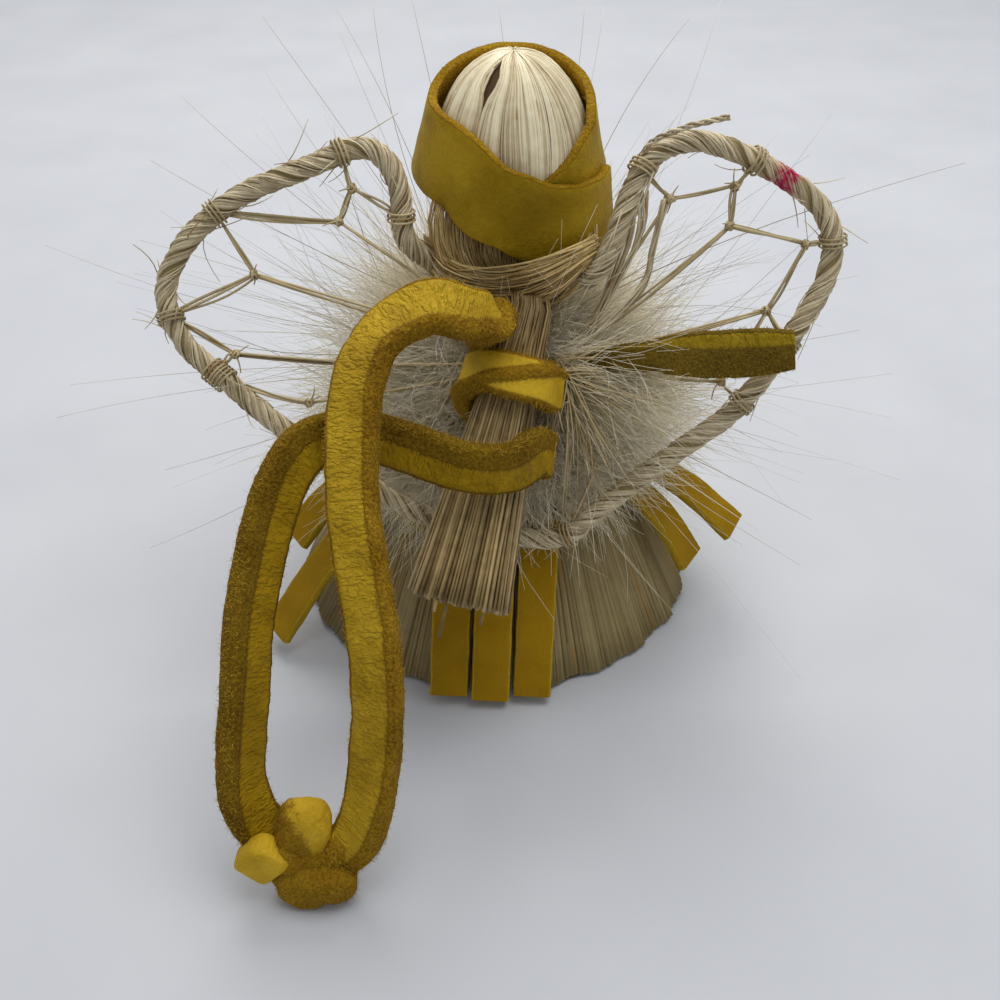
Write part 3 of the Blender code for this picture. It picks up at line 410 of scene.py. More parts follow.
HEAD_STRAW = fibre_finish("head_straw", (0.97, 0.87, 0.62), (0.50, 0.38, 0.20), stained=0.03, roughness=0.3)
SKIRT_STRAW = fibre_finish("skirt_straw", (0.38, 0.29, 0.13), (0.225, 0.165, 0.065), stained=0.05, roughness=0.7)
HOOP_STRAW = fibre_finish("hoop_straw", (0.79, 0.68, 0.46), (0.30, 0.215, 0.105), roughness=0.4)
WEB_STRAW = fibre_finish("web_straw", (0.62, 0.50, 0.28), (0.30, 0.22, 0.10), roughness=0.5)
TAIL_STRAW = fibre_finish("tail_straw", (0.68, 0.50, 0.22), (0.13, 0.075, 0.02), stained=0.12, roughness=0.45)
NECK_STRAW = fibre_finish("neck_straw", (0.80, 0.61, 0.27), (0.25, 0.14, 0.035), stained=0.1, roughness=0.4)
# Near-black fibre for the cores under the head and skirt fibres: painted shade for the gaps between fibres
CORE_STRAW_PAINTED_SHADE = fibre_finish("core_straw_painted_shade", (0.17, 0.095, 0.04), (0.06, 0.03, 0.01), roughness=0.9)
WAD_STRAW = fibre_finish("wad_straw", (0.70, 0.60, 0.42), (0.48, 0.39, 0.25), roughness=0.8)
FUR = fibre_finish("pale_fur", (0.96, 0.90, 0.72), (0.72, 0.605, 0.37), stained=0.0, roughness=0.7, sheen=0.4)
GUARD_FUR = fibre_finish("guard_fur", (0.86, 0.82, 0.74), (0.32, 0.27, 0.20), stained=0.0, roughness=0.4)
# The back run's leather: a darker copy of the thong's own leather, painted shade for the run that faces away from
# the light
BACK_HIDE_PAINTED_SHADE = hide_finish(
    "back_hide_painted_shade", (0.37, 0.22, 0.004), (0.21, 0.12, 0.002), (0.11, 0.052, 0.002), (0.28, 0.17, 0.010)
)
THONG_HIDE = hide_finish(
    "thong_hide", (0.53, 0.335, 0.018), (0.27, 0.155, 0.005), (0.15, 0.066, 0.002), (0.42, 0.25, 0.015)
)
# The turns' and knot's leather: a paler copy of the thong's own leather, painted light
KNOT_HIDE_PAINTED_LIGHT = hide_finish(
    "knot_hide_painted_light", (0.65, 0.41, 0.026), (0.38, 0.23, 0.009), (0.17, 0.08, 0.003), (0.38, 0.225, 0.012), 0.35, 0.5
)
BAND_HIDE = hide_finish(
    "band_hide", (0.50, 0.32, 0.016), (0.29, 0.175, 0.003), (0.22, 0.105, 0.003), (0.42, 0.26, 0.02), 0.3, 0.45
)
STRIP_HIDE = hide_finish(
    "strip_hide", (0.35, 0.195, 0.003), (0.27, 0.145, 0.001), (0.38, 0.23, 0.01), (0.50, 0.33, 0.03), 0.15, 0.3
)
SIDE_HIDE = hide_finish(
    "side_hide", (0.36, 0.24, 0.012), (0.24, 0.15, 0.006), (0.10, 0.06, 0.006), (0.23, 0.15, 0.018)
)
NAP_HAIR = fibre_finish("nap_hair", (0.64, 0.40, 0.04), (0.20, 0.095, 0.004), stained=0.0, roughness=0.8)


# Makers
OUTLINE_ACROSS = 13
OUTLINE_ROUND = 4
SMOOTH_ANGLE = math.radians(50.0)
RIDGE_RISE = 0.0004


def show(name, mesh, finish, body, nodes=()):
    """Put a mesh in the scene as a piece that rides on a body."""
    mesh.materials.clear()
    mesh.materials.append(finish)
    made = bpy.data.objects.new(name, mesh)
    bpy.context.collection.objects.link(made)
    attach(made, body)
    if nodes:
        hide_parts(*nodes)
    return made


def strip_outline(width, thickness):
    """Section of a leather strip: rows of across, out and how rough that corner is."""
    half = width / 2.0
    thick = thickness / 2.0
    flat = half - thick * 0.55
    rows = []
    for sign, rough in ((1.0, 0.0), (-1.0, 1.0)):
        first = sign * flat
        for k in range(OUTLINE_ACROSS):
            share = k / (OUTLINE_ACROSS - 1)
            rows.append((first - 2.0 * first * share, sign * thick, rough))
        for k in range(1, OUTLINE_ROUND + 1):
            angle = math.pi * k / (OUTLINE_ROUND + 1)
            edge = flat + (half - flat) * math.sin(angle) ** 0.6
            rows.append((-sign * edge, sign * thick * math.cos(angle), 1.0))
    return rows


def wrapped_shell(steps, sides, place, closed=False):
    """Wrap a flat grid into a tube: place(i, k) gives each point, its roughness and strip place."""
    shell = bmesh.new()
    bmesh.ops.create_grid(shell, x_segments=steps, y_segments=sides, size=0.5, calc_uvs=True)
    rough = shell.verts.layers.float.new("suede")
    strip = shell.verts.layers.float_vector.new("strip")
    for corner in shell.verts:
        i = round((corner.co.x + 0.5) * steps)
        k = round((corner.co.y + 0.5) * sides) % sides
        corner.co, corner[rough], corner[strip] = place(0 if closed and i == steps else i, k)
    bmesh.ops.remove_doubles(shell, verts=shell.verts, dist=0.0000005)
    rims = [edge for edge in shell.edges if edge.is_boundary]
    if rims:
        bmesh.ops.holes_fill(shell, edges=rims, sides=0)
    bmesh.ops.recalc_face_normals(shell, faces=shell.faces)
    return shell


def shell_mesh(name, shell):
    """Finish a bmesh as a smooth mesh."""
    mesh = bpy.data.meshes.new(name)
    shell.to_mesh(mesh)
    shell.free()
    mesh.shade_smooth()
    mesh.set_sharp_from_angle(angle=SMOOTH_ANGLE)
    return mesh


def strap_shell(
    points, faces, width, thickness, seed, closed=False, wander=0.00007, ends=None, border=None, ridge=None
):
    """Leather strip along points, its smooth face turned to faces, with hand-cut edges.

    ends narrows it along its length. border gives a signed share of the face, counted from
    that edge, that is rough like the cut sides. ridge gives the place across the face, from
    -1 to 1, where a folded edge stands up rough.
    """
    outline = strip_outline(width, thickness)
    turns = heading(points, closed)
    steps = len(points) if closed else len(points) - 1
    gap = route_length(points) / max(len(points) - 1, 1)

    def place(i, k):
        across, out, rough = outline[k]
        along = turns[i]
        outward = (faces[i] - along * faces[i].dot(along)).normalized()
        side = along.cross(outward)
        step = i * gap * 1000.0
        if border and rough == 0.0:
            rim = border(i / steps)
            reach = math.copysign(2.0 * across / width, across * rim)
            rough = held((reach - 1.0 + 2.0 * abs(rim)) / 0.3 + 0.5)
        if ridge and rough == 0.0:
            away = abs(2.0 * across / width - ridge(i / steps))
            rough = held(1.7 - away / 0.26)
            out += RIDGE_RISE * math.exp(-(away / 0.3) ** 2)
        sway = noise.noise(Vector((step * 0.35, math.copysign(3.0, across), seed)))
        ragged = noise.noise(Vector((step * 1.9, k * 0.8, seed + 9.0))) * rough
        thin = noise.noise(Vector((step * 0.5, across * 400.0, seed + 4.0)))
        strip_place = (step + seed * 50.0, across * 1000.0, out * 1000.0)
        if ends:
            across *= ends(i / steps)
        across *= 1.0 + 0.05 * sway
        across += math.copysign(wander, across) * ragged
        out += out * 0.10 * thin + math.copysign(wander, out) * ragged * 0.7
        return points[i] + side * across + outward * out, rough, strip_place

    return wrapped_shell(steps, len(outline), place, closed)


def strands(name, rows, finish, body, nodes=(), seed=1, own_tones=None):
    """Lay thin fibres as one mesh: each row holds x, y, z and radius per point."""
    line = bpy.data.curves.new(name, "CURVE")
    line.dimensions = "3D"
    line.bevel_depth = 1.0
    line.bevel_resolution = 0
    line.use_fill_caps = True
    for row in rows:
        fibre = line.splines.new("POLY")
        fibre.points.add(len(row) - 1)
        spots = np.ones((len(row), 4), np.float32)
        spots[:, :3] = row[:, :3]
        fibre.points.foreach_set("co", spots.ravel())
        fibre.points.foreach_set("radius", np.ascontiguousarray(row[:, 3], np.float32))
    guide = bpy.data.objects.new(name + "_line", line)
    bpy.context.collection.objects.link(guide)
    bpy.context.view_layer.update()
    mesh = bpy.data.meshes.new_from_object(guide.evaluated_get(bpy.context.evaluated_depsgraph_get()))
    bpy.data.objects.remove(guide)
    tones = np.random.default_rng(seed).random(len(rows)) if own_tones is None else np.array(own_tones)
    tones = np.concatenate((np.repeat(tones[::-1], 8), np.repeat(tones, [len(row) * 4 for row in rows])))
    mesh.attributes.new("strand", "FLOAT", "POINT").data.foreach_set("value", tones.astype(np.float32))
    closed = bmesh.new()
    closed.from_mesh(mesh)
    bmesh.ops.remove_doubles(closed, verts=closed.verts, dist=0.0000002)
    closed.to_mesh(mesh)
    closed.free()
    mesh.shade_smooth()
    return show(name, mesh, finish, body, nodes)


def fibre_row(points, radii):
    """One fibre as an array of places and radii."""
    row = np.empty((len(points), 4))
    row[:, :3] = [tuple(point) for point in points]
    row[:, 3] = radii
    return row


def hair_row(root, way, length, bend, thick, tip, count=5):
    """One hair that leaves its root along way and bends off."""
    t = np.linspace(0.0, 1.0, count)
    row = np.empty((count, 4))
    row[:, :3] = np.array(root) + np.outer(t, way) * length + np.outer(t ** 2, bend) * length
    row[:, 3] = thick + (tip - thick) * t ** 1.5
    return row


def raise_nap(name, hide, count, body, seed, reach=(0.00012, 0.00036), thick=0.000024):
    """Short nap that stands up from the rough sides of a leather piece."""
    rng = np.random.default_rng(seed)
    mesh = hide.data
    places = np.array([tuple(v.co) for v in mesh.vertices])
    rough = np.array([d.value for d in mesh.attributes["suede"].data])
    quads = [p for p in mesh.polygons if len(p.vertices) < 5 and rough[list(p.vertices)].mean() > 0.6]
    weights = np.array([p.area for p in quads])
    picked = rng.choice(len(quads), count, p=weights / weights.sum())
    rows = []
    for choice in picked:
        quad = quads[choice]
        a, b, c, d = places[(list(quad.vertices) * 2)[:4]]
        u, v = rng.random(2)
        root = (a * (1 - u) + b * u) * (1 - v) + (d * (1 - u) + c * u) * v
        normal = np.array(quad.normal)
        way = normal + rng.normal(0.0, 0.55, 3)
        way /= np.linalg.norm(way)
        bend = rng.normal(0.0, 0.5, 3)
        length = rng.uniform(*reach)
        row = hair_row(root - normal * 0.00003, way, length, bend, thick, thick * 0.3, 3)
        row[:, 2] = np.maximum(row[:, 2], 0.0002)
        rows.append(row)
    return strands(name, rows, NAP_HAIR, body, seed=seed)


def carried_frames(points):
    """Two directions square to the line at each point, carried along without twist."""
    ways = heading(points)
    first = UP if abs(ways[0].dot(UP)) < 0.9 else RIGHT
    normal = (first - ways[0] * first.dot(ways[0])).normalized()
    rows = []
    for way in ways:
        normal = (normal - way * normal.dot(way)).normalized()
        rows.append((normal, way.cross(normal)))
    return rows


def twisted(points, count, lay_radius, fibre_radius, pitch, seed, swell=0.15):
    """Fibres twisted round a line, like the wrapping on a rod."""
    rng = np.random.default_rng(seed)
    frames = carried_frames(points)
    gap = route_length(points) / (len(points) - 1)
    rows = []
    for s in range(count):
        own = rng.uniform(-0.06, 0.06)
        thick = fibre_radius * rng.uniform(1.0 - swell, 1.0 + swell)
        spots = []
        radii = []
        for i, (point, (normal, other)) in enumerate(zip(points, frames)):
            angle = FULL_TURN * (s / count + own + i * gap / pitch)
            angle += 0.35 * noise.noise(Vector((i * gap * 300.0, s * 0.7, seed)))
            rise = 1.0 + 0.10 * noise.noise(Vector((i * gap * 800.0, s * 3.1, seed + 5.0)))
            spots.append(point + (normal * math.cos(angle) + other * math.sin(angle)) * lay_radius * rise)
            radii.append(thick * (1.0 + 0.25 * noise.noise(Vector((i * gap * 500.0, s * 1.7, seed + 2.0)))))
        rows.append(fibre_row(spots, radii))
    return rows


def round_core(name, points, radius, sides, finish, body, nodes):
    """Plain round core under a layer of fibres."""
    frames = carried_frames(points)

    def place(i, k):
        angle = FULL_TURN * k / sides
        normal, other = frames[i]
        spot = points[i] + (normal * math.cos(angle) + other * math.sin(angle)) * radius
        return spot, 0.0, tuple(spot)

    shell = wrapped_shell(len(points) - 1, sides, place)
    show(name, shell_mesh(name, shell), finish, body, nodes)


# Thong: two free runs, the turns round the ponytail and the knot
def lay_run(side, turns, route, count, finish, seed, nap_count, **cut):
    """One free run of the thong, from its turns to the knot, with its nap."""
    lead = tuple(wrap_place(turn) for turn in turns)
    points, faces = leather_route(lead + route, count)
    shell = strap_shell(points, faces, THONG_WIDTH, THONG_THICKNESS, float(seed), **cut)
    run = show("thong_%s_run" % side, shell_mesh(side + "_run", shell), finish, "thong")
    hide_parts("loop_%s_run" % side)
    nap = raise_nap("thong_%s_nap" % side, run, nap_count, "thong", 10 + seed)


def front_narrowing(share):
    """The front run is widest where it bends down."""
    return 1.0 + 0.17 * math.exp(-((share - 0.30) / 0.12) ** 2)


def front_border(share):
    """Rough border of the front run: wide at the turns, and wider again at the knot."""
    return -0.15 - 0.55 * max(1.0 - share / 0.26, 0.0) - 0.2 * max(share - 0.85, 0.0) / 0.15


def turns_ridge(share):
    """Where the folded edge lies across the turns."""
    return np.interp(share, (0.0, 0.08, 0.3, 0.44, 0.66, 1.0), (-1.0, -1.0, 1.0, 0.85, -0.85, -0.9))


def build_thong():
    """The leather thong with its nap: its two free runs and its turns round the ponytail."""
    wrap_end = WRAP_START + WRAP_TURN
    lay_run(
        "front", [wrap_end + WRAP_GAP * turn for turn in (-2.0, 0.0, 1.5)], FRONT_RUN_ROUTE, 210,
        THONG_HIDE, 1, 7600, ends=front_narrowing, border=front_border,
    )
    lay_run(
        "back", [WRAP_START + WRAP_GAP * turn for turn in (1.5, -1.0, -3.0)], BACK_RUN_ROUTE, 190,
        BACK_HIDE_PAINTED_SHADE, 2, 6800, border=lambda share: 0.41 - 0.4 * max(share - 0.5, 0.0),
    )
    count = 120
    rows = [wrap_place(WRAP_START + WRAP_TURN * i / (count - 1)) for i in range(count)]
    places = [row[0] for row in rows]
    faces = [row[1] for row in rows]
    shell = strap_shell(places, faces, WRAP_WIDTH, THONG_THICKNESS, 3.0, ridge=turns_ridge)
    wrap = show("thong_turns", shell_mesh("turns", shell), KNOT_HIDE_PAINTED_LIGHT, "thong", ("thong_wrap",))
    raise_nap("thong_turns_nap", wrap, 4600, "thong", 13)


# Each lump of the knot: centre, half sizes, roughness and its side, tilt and squareness
KNOT_LOWEST = 0.0003
EVEN = (0.0, 0.0, 0.0)
KNOT_LUMPS = (
    (seen(303, 829, -46.4), (0.0025, 0.0020, 0.0034), 0.35, (-0.75, -0.3, -0.25), 0.30, 0.82),
    (seen(263, 858, -48.1), (0.0020, 0.0014, 0.0021), -0.6, (0.2, 0.2, -0.6), 0.80, 0.55),
    (seen(290, 853, -47.2), (0.0019, 0.0018, 0.0023), 1.1, EVEN, -0.45, 0.9),
    (seen(322, 877, -48.0), (0.0031, 0.0020, 0.0020), 1.2, EVEN, 0.10, 0.72),
    (seen(306, 886, -48.1), (0.0024, 0.0018, 0.0018), 1.2, EVEN, 0.30, 0.85),
    (seen(294, 872, -47.6), (0.0021, 0.0018, 0.0019), 1.0, EVEN, 0.0, 1.0),
    (seen(336, 848, -46.8), (0.0016, 0.0016, 0.0020), 0.9, EVEN, 0.3, 1.0),
    (mm(-16.0, -46.6, 4.2), (0.0030, 0.0020, 0.0026), 1.0, EVEN, 0.0, 1.0),
)


def soft_lump(centre, size, rough, rough_way, tilt, square, seed):
    """A rounded lump of leather, as where a strip is folded tight.

    rough and rough_way say how much of it is suede and on which side; square below 1
    flattens its sides.
    """
    lump = bmesh.new()
    bmesh.ops.create_icosphere(lump, subdivisions=5, radius=1.0)
    suede = lump.verts.layers.float.new("suede")
    strip = lump.verts.layers.float_vector.new("strip")
    lean = Matrix.Rotation(tilt, 3, "Y")
    for corner in lump.verts:
        way = corner.co.normalized()
        swell = 1.0 + 0.09 * noise.noise(way * 1.3 + RIGHT * seed) + 0.02 * noise.noise(way * 5.0 + RIGHT * seed)
        spot = lean @ (Vector([math.copysign(abs(w) ** square, w) * s for w, s in zip(way, size)]) * swell)
        edge = 0.3 * noise.noise(way * 2.6 + RIGHT * (seed + 7.0)) + 1.6 * spot.normalized().dot(Vector(rough_way))
        corner[suede] = held(rough + edge)
        corner[strip] = tuple(spot * 1000.0)
        corner.co = centre + spot
        corner.co.z = max(corner.co.z, KNOT_LOWEST)
    return lump


def build_knot():
    """The overhand knot: a smooth fold above, suede folds below and a cut stub to the left."""
    joined = bmesh.new()
    for number, facts in enumerate(KNOT_LUMPS):
        lump = soft_lump(*facts, 3.0 + number * 1.7)
        joined.from_mesh(shell_mesh("knot_lump_%d" % number, lump))
    knot = show("thong_knot", shell_mesh("knot", joined), KNOT_HIDE_PAINTED_LIGHT, "thong", ("loop_knot",))
    raise_nap("thong_knot_nap", knot, 5200, "thong", 14)


# Headband, waist band and strips
HEAD_CENTRE = mm(1.9, -0.3, 50.4)
HEAD_RADIUS = 0.0073
HEAD_HALF_HEIGHT = 0.0102
BAND_THICKNESS = 0.0009
BAND_HEIGHT = 0.0092
BAND_TILT = math.radians(26)
BAND_LOWER_RADIUS = 0.0084
BAND_UPPER_RADIUS = 0.0066
BAND_BELOW = 0.0021
BAND_BACK_SHARE = 0.2
BAND_START = math.radians(8)
BAND_TURN = math.radians(428)
BAND_LAP_START = math.radians(308)
BAND_LAP_FULL = math.radians(352)
BAND_POINTS = 200


def build_headband():
    """Strip of leather wound once round the head and lapped over its own start."""
    axis = Vector((0.0, -math.sin(BAND_TILT), math.cos(BAND_TILT)))
    front = RIGHT.cross(axis)
    middle_radius = (BAND_LOWER_RADIUS + BAND_UPPER_RADIUS) / 2.0 + BAND_THICKNESS / 2.0
    lean = (BAND_LOWER_RADIUS - BAND_UPPER_RADIUS) / BAND_HEIGHT
    points = []
    faces = []
    for i in range(BAND_POINTS):
        share = i / (BAND_POINTS - 1)
        angle = BAND_START + BAND_TURN * share
        lap = held((angle - BAND_LAP_START) / (BAND_LAP_FULL - BAND_LAP_START))
        step_out = (BAND_THICKNESS + CLEARANCE) * (0.5 - 0.5 * math.cos(math.pi * lap))
        hump = bump_at(angle, math.radians(318), math.radians(40))
        outward = front * math.cos(angle) + RIGHT * math.sin(angle)
        up = BAND_HEIGHT / 2.0 - BAND_BELOW - 0.0022 * share ** 4 + 0.0017 * hump
        up -= 0.0028 * max(1.0 - share / 0.19, 0.0) ** 0.8 + 0.0036 * max(share - 0.82, 0.0) / 0.18
        wide = bump_at(angle, math.radians(262), math.radians(48))
        reach = middle_radius + step_out - 0.0007 * hump + 0.0008 * wide + 0.0006 * max(share - 0.85, 0.0) / 0.15
        middle = HEAD_CENTRE + (axis - front * BAND_BACK_SHARE) * up
        points.append(middle + outward * reach)
        faces.append(outward + axis * (lean + 0.07 * wide + BAND_BACK_SHARE * outward.dot(front)))
    shell = strap_shell(
        points, faces, BAND_HEIGHT, BAND_THICKNESS, 6.0, wander=0.00005,
        ends=lambda share: 0.92 - 0.25 * max(1.0 - share / 0.13, 0.0) - 0.07 * bump_at(share, 0.83, 0.07),
    )
    band = show("head_strap", shell_mesh("head_strap", shell), BAND_HIDE, "doll", ("headband",))
    raise_nap("head_strap_nap", band, 2600, "doll", 15, (0.0001, 0.00026), 0.00002)


HEM_RADIUS = 0.023
NECK_RADIUS = 0.0044
NECK_BOTTOM = 0.034
NECK_X = 0.00125
SKIRT_TOP = 0.0352
STRIP_TOP = 0.0167
STRIP_WIDTH = 0.0040
STRIP_THICKNESS = 0.0011
STRIP_BULGE = 0.0006
STRIP_TWIST_SHARE = 0.45
TOWARD_CAMERA = Vector((0.0, -0.64, 0.77))
WAIST_THICKNESS = 0.0008
WAIST_MIDDLE = 0.01605
WAIST_WIDTH = 0.0027
# Each strip: degrees round the doll, place across, how far out and how high it ends
FRINGE_STRIPS = {
    "fringe_back_left": (-1.0, -0.0044, 0.0240, 0.0011),
    "fringe_back_middle": (-1.0, 0.0, 0.0246, 0.0010),
    "fringe_back_right": (-1.0, 0.0044, 0.0240, 0.0011),
    "fringe_right_near": (72.0, -0.0025, 0.0238, 0.0080),
    "fringe_right_far": (72.0, 0.0027, 0.0277, 0.0096),
    "fringe_left_near": (-63.0, 0.0026, 0.0284, 0.0020),
    "fringe_left_far": (-63.0, -0.0026, 0.0236, 0.0100),
    "fringe_front_left": (179.0, -0.0044, 0.0240, 0.0011),
    "fringe_front_middle": (179.0, 0.0, 0.0246, 0.0010),
    "fringe_front_right": (179.0, 0.0044, 0.0240, 0.0011),
}


def body_centre(height):
    """Middle of the body bundle at a height."""
    return Vector((NECK_X * min(height / NECK_BOTTOM, 1.0), 0.0, height))


def body_radius(height):
    """Outer radius of the body bundle at a height."""
    share = max(1.0 - height / NECK_BOTTOM, 0.0)
    return NECK_RADIUS + (HEM_RADIUS - NECK_RADIUS) * share ** 0.97


def body_ring(height, clear, lean, count):
    """Points and face directions of a leather ring round the body bundle."""
    points = []
    faces = []
    for i in range(count):
        outward = level_way(FULL_TURN * i / count)
        points.append(body_centre(height) + outward * (body_radius(height) + clear))
        faces.append(outward + UP * lean)
    return points, faces


def build_waist_band():
    """Leather band under the fur that the strips hang from."""
    points, faces = body_ring(WAIST_MIDDLE, CLEARANCE + WAIST_THICKNESS / 2.0, 0.62, 64)
    shell = strap_shell(points, faces, WAIST_WIDTH, WAIST_THICKNESS, 7.0, closed=True, wander=0.00003)
    show("waist_strap", shell_mesh("waist_strap", shell), STRIP_HIDE, "doll", ("waist_band",))


def build_fringe():
    """Ten hanging strips, each cut a little unevenly; those at the sides twist towards the camera."""
    for number, (name, (degrees, offset, reach, end_height)) in enumerate(FRINGE_STRIPS.items()):
        azimuth = math.radians(degrees)
        outward = Vector((math.sin(azimuth), -math.cos(azimuth), 0.0))
        side = level_way(azimuth)
        seat = body_radius(STRIP_TOP) + CLEARANCE + WAIST_THICKNESS
        near_edge = max(abs(offset) - STRIP_WIDTH / 2.0, 0.0)
        seat = math.sqrt(seat ** 2 - near_edge ** 2) + CLEARANCE + STRIP_THICKNESS / 2.0
        top = body_centre(STRIP_TOP) + side * offset + outward * seat
        end = UP * end_height + side * offset + outward * reach
        face = side.cross((end - top).normalized())
        if face.dot(outward) < 0.0:
            face.negate()
        middle = (top + end) / 2.0 + face * STRIP_BULGE
        at_a_side = abs(abs(degrees) - 90.0) < 45.0
        viewed = face.lerp(TOWARD_CAMERA, STRIP_TWIST_SHARE if at_a_side else 0.0)
        points, faces = leather_route([(top, face), (middle, face.lerp(viewed, 0.5)), (end, viewed)], 30)
        shell = strap_shell(points, faces, STRIP_WIDTH, STRIP_THICKNESS, 20.0 + number, wander=0.00004)
        show(name + "_strip", shell_mesh(name, shell), STRIP_HIDE, name, (name,))


SIDE_STRIP_WIDTH = 0.0045
SIDE_STRIP_THICKNESS = 0.0016
SIDE_STRIP_ROUTE = (
    ((0.0083, -0.0110, 0.0342), (0.35, -0.90, 0.1)),
    ((0.0150, -0.0137, 0.0362), (0.2, -0.94, 0.2)),
    ((0.0210, -0.0149, 0.0370), (0.15, -0.95, 0.2)),
    ((0.0281, -0.0158, 0.0380), (0.1, -0.97, 0.15)),
)


def build_side_strip():
    """Short strip in front of the right wing, its rough side to the viewer."""
    points, faces = leather_route(SIDE_STRIP_ROUTE, 60)
    shell = strap_shell(
        points, [face + UP * 0.25 for face in faces], SIDE_STRIP_WIDTH, SIDE_STRIP_THICKNESS, 8.0,
        ends=lambda share: 0.25 + 0.75 * min(share / 0.6, 1.0) - 0.2 * max(share - 0.88, 0.0) / 0.12,
        border=lambda share: 0.97 - 0.35 * min(share / 0.6, 1.0),
    )
    strip = show("side_suede", shell_mesh("side_suede", shell), SIDE_HIDE, "side_strip")
    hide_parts("side_strip")
    raise_nap("side_suede_nap", strip, 2600, "side_strip", 16, (0.00012, 0.00034), 0.00002)


# Head, neck, skirt and ponytail fibres
HEAD_FIBRES = 460
SLIT_TURN = math.radians(-121)
SKIRT_FIBRES = 1300
SKIRT_FLUTES = 24.0
TIE_STEPS = 24
TIE_PITCH = 0.00125
TIE_BOTTOM = 0.0348
TIE_SEAT = 0.00045
TAIL_FIBRES = 640
TAIL_ROOT_RADIUS = 0.0015
STRAY_LIMIT = 0.0006
GOLDEN_SHARE = 3.0 - math.sqrt(5.0)
# Each fan: how many fibres, and its outer and inner edge by pixel and depth
NECK_FANS = (
    (
        250,
        ((440, 172, -3.0), (430, 226, -5.6), (448, 270, -7.2), (500, 300, -8.3), (556, 292, -8.6)),
        ((530, 212, -5.6), (528, 256, -7.8), (532, 278, -8.4), (542, 300, -8.6), (566, 276, -8.0)),
    ),
    (
        100,
        ((598, 205, -4.0), (600, 250, -6.4), (584, 280, -8.0), (560, 300, -9.2), (535, 308, -9.4)),
        ((540, 212, -5.6), (544, 256, -7.8), (544, 280, -8.6), (545, 296, -9.4), (535, 308, -9.6)),
    ),
    (
        150,
        ((424, 262, -5.4), (450, 290, -7.4), (495, 308, -10.2), (540, 302, -11.7), (592, 262, -8.0)),
        ((426, 236, -5.0), (455, 262, -7.2), (495, 270, -9.8), (540, 262, -11.1), (596, 240, -7.0)),
    ),
)


def head_fibre(s, turn, away, crossing, lift, thick):
    """One fibre from the crown over the head and down the neck, pushed aside at the slit."""
    spots = []
    radii = []
    for i in range(25):
        share = i / 24
        angle = math.radians(1.5) + math.radians(138.5) * min(share / 0.8, 1.0)
        opened = bump_at(angle, math.radians(31), math.radians(12))
        push = math.copysign(0.21, away) * opened * math.exp(-abs(away) / 0.25)
        if crossing:
            push = -away * 1.6 * (share - 0.2)
        wave = 0.07 * noise.noise(Vector((math.cos(turn) * 2.5, math.sin(turn) * 2.5, share * 3.0)))
        wave += 0.03 * noise.noise(Vector((s * 0.71, share * 4.0, 8.0)))
        outward = level_way(turn + push + wave)
        flat = outward * (HEAD_RADIUS + lift) * math.sin(angle)
        spot = HEAD_CENTRE + flat + UP * (HEAD_HALF_HEIGHT + lift) * math.cos(angle)
        if share > 0.8:
            neck = body_centre(NECK_BOTTOM) + outward * (NECK_RADIUS + lift + 0.00015)
            spot = spot.lerp(Vector((neck.x, neck.y, SKIRT_TOP)), (share - 0.8) / 0.2)
        spots.append(spot)
        radii.append(thick * (0.35 + 0.65 * math.sin(min(angle, math.pi / 2.0))))
    return fibre_row(spots, radii)


def build_head():
    """Combed fibres over the head and down the neck, with the slit at the crown where the core shows, painted dark
    as shade.
    """
    core = bmesh.new()
    bmesh.ops.create_uvsphere(core, u_segments=40, v_segments=24, radius=1.0)
    size = Vector((HEAD_RADIUS - 0.0001, HEAD_RADIUS - 0.0001, HEAD_HALF_HEIGHT - 0.0001))
    bmesh.ops.scale(core, vec=size, verts=core.verts)
    bmesh.ops.translate(core, vec=HEAD_CENTRE, verts=core.verts)
    show("head_core", shell_mesh("head_core", core), CORE_STRAW_PAINTED_SHADE, "doll")
    rng = np.random.default_rng(21)
    rows = []
    tones = []
    for s in range(HEAD_FIBRES):
        turn = FULL_TURN * (s + rng.uniform(-0.7, 0.7)) / HEAD_FIBRES
        bunch = noise.noise(level_way(turn) * 5.0)
        lift = rng.uniform(0.0, 0.00026) + 0.00022 * bunch
        thick = rng.uniform(0.00009, 0.00024)
        away = (turn - SLIT_TURN + math.pi) % FULL_TURN - math.pi
        crossing = abs(away) < 0.2 and rng.random() < 0.08
        rows.append(head_fibre(s, turn, away, crossing, lift, thick))
        shaded = 0.35 * math.exp(-abs(away) / 0.12)
        tones.append(held(0.52 + 1.1 * bunch + rng.uniform(-0.6, 0.4) + 900.0 * lift - shaded))
    strands("head_fibres", rows, HEAD_STRAW, "doll", ("head_bundle",), own_tones=tones)
    for slot_row in frame["nodes"]["head_wad"].material_slots:
        slot_row.material = WAD_STRAW


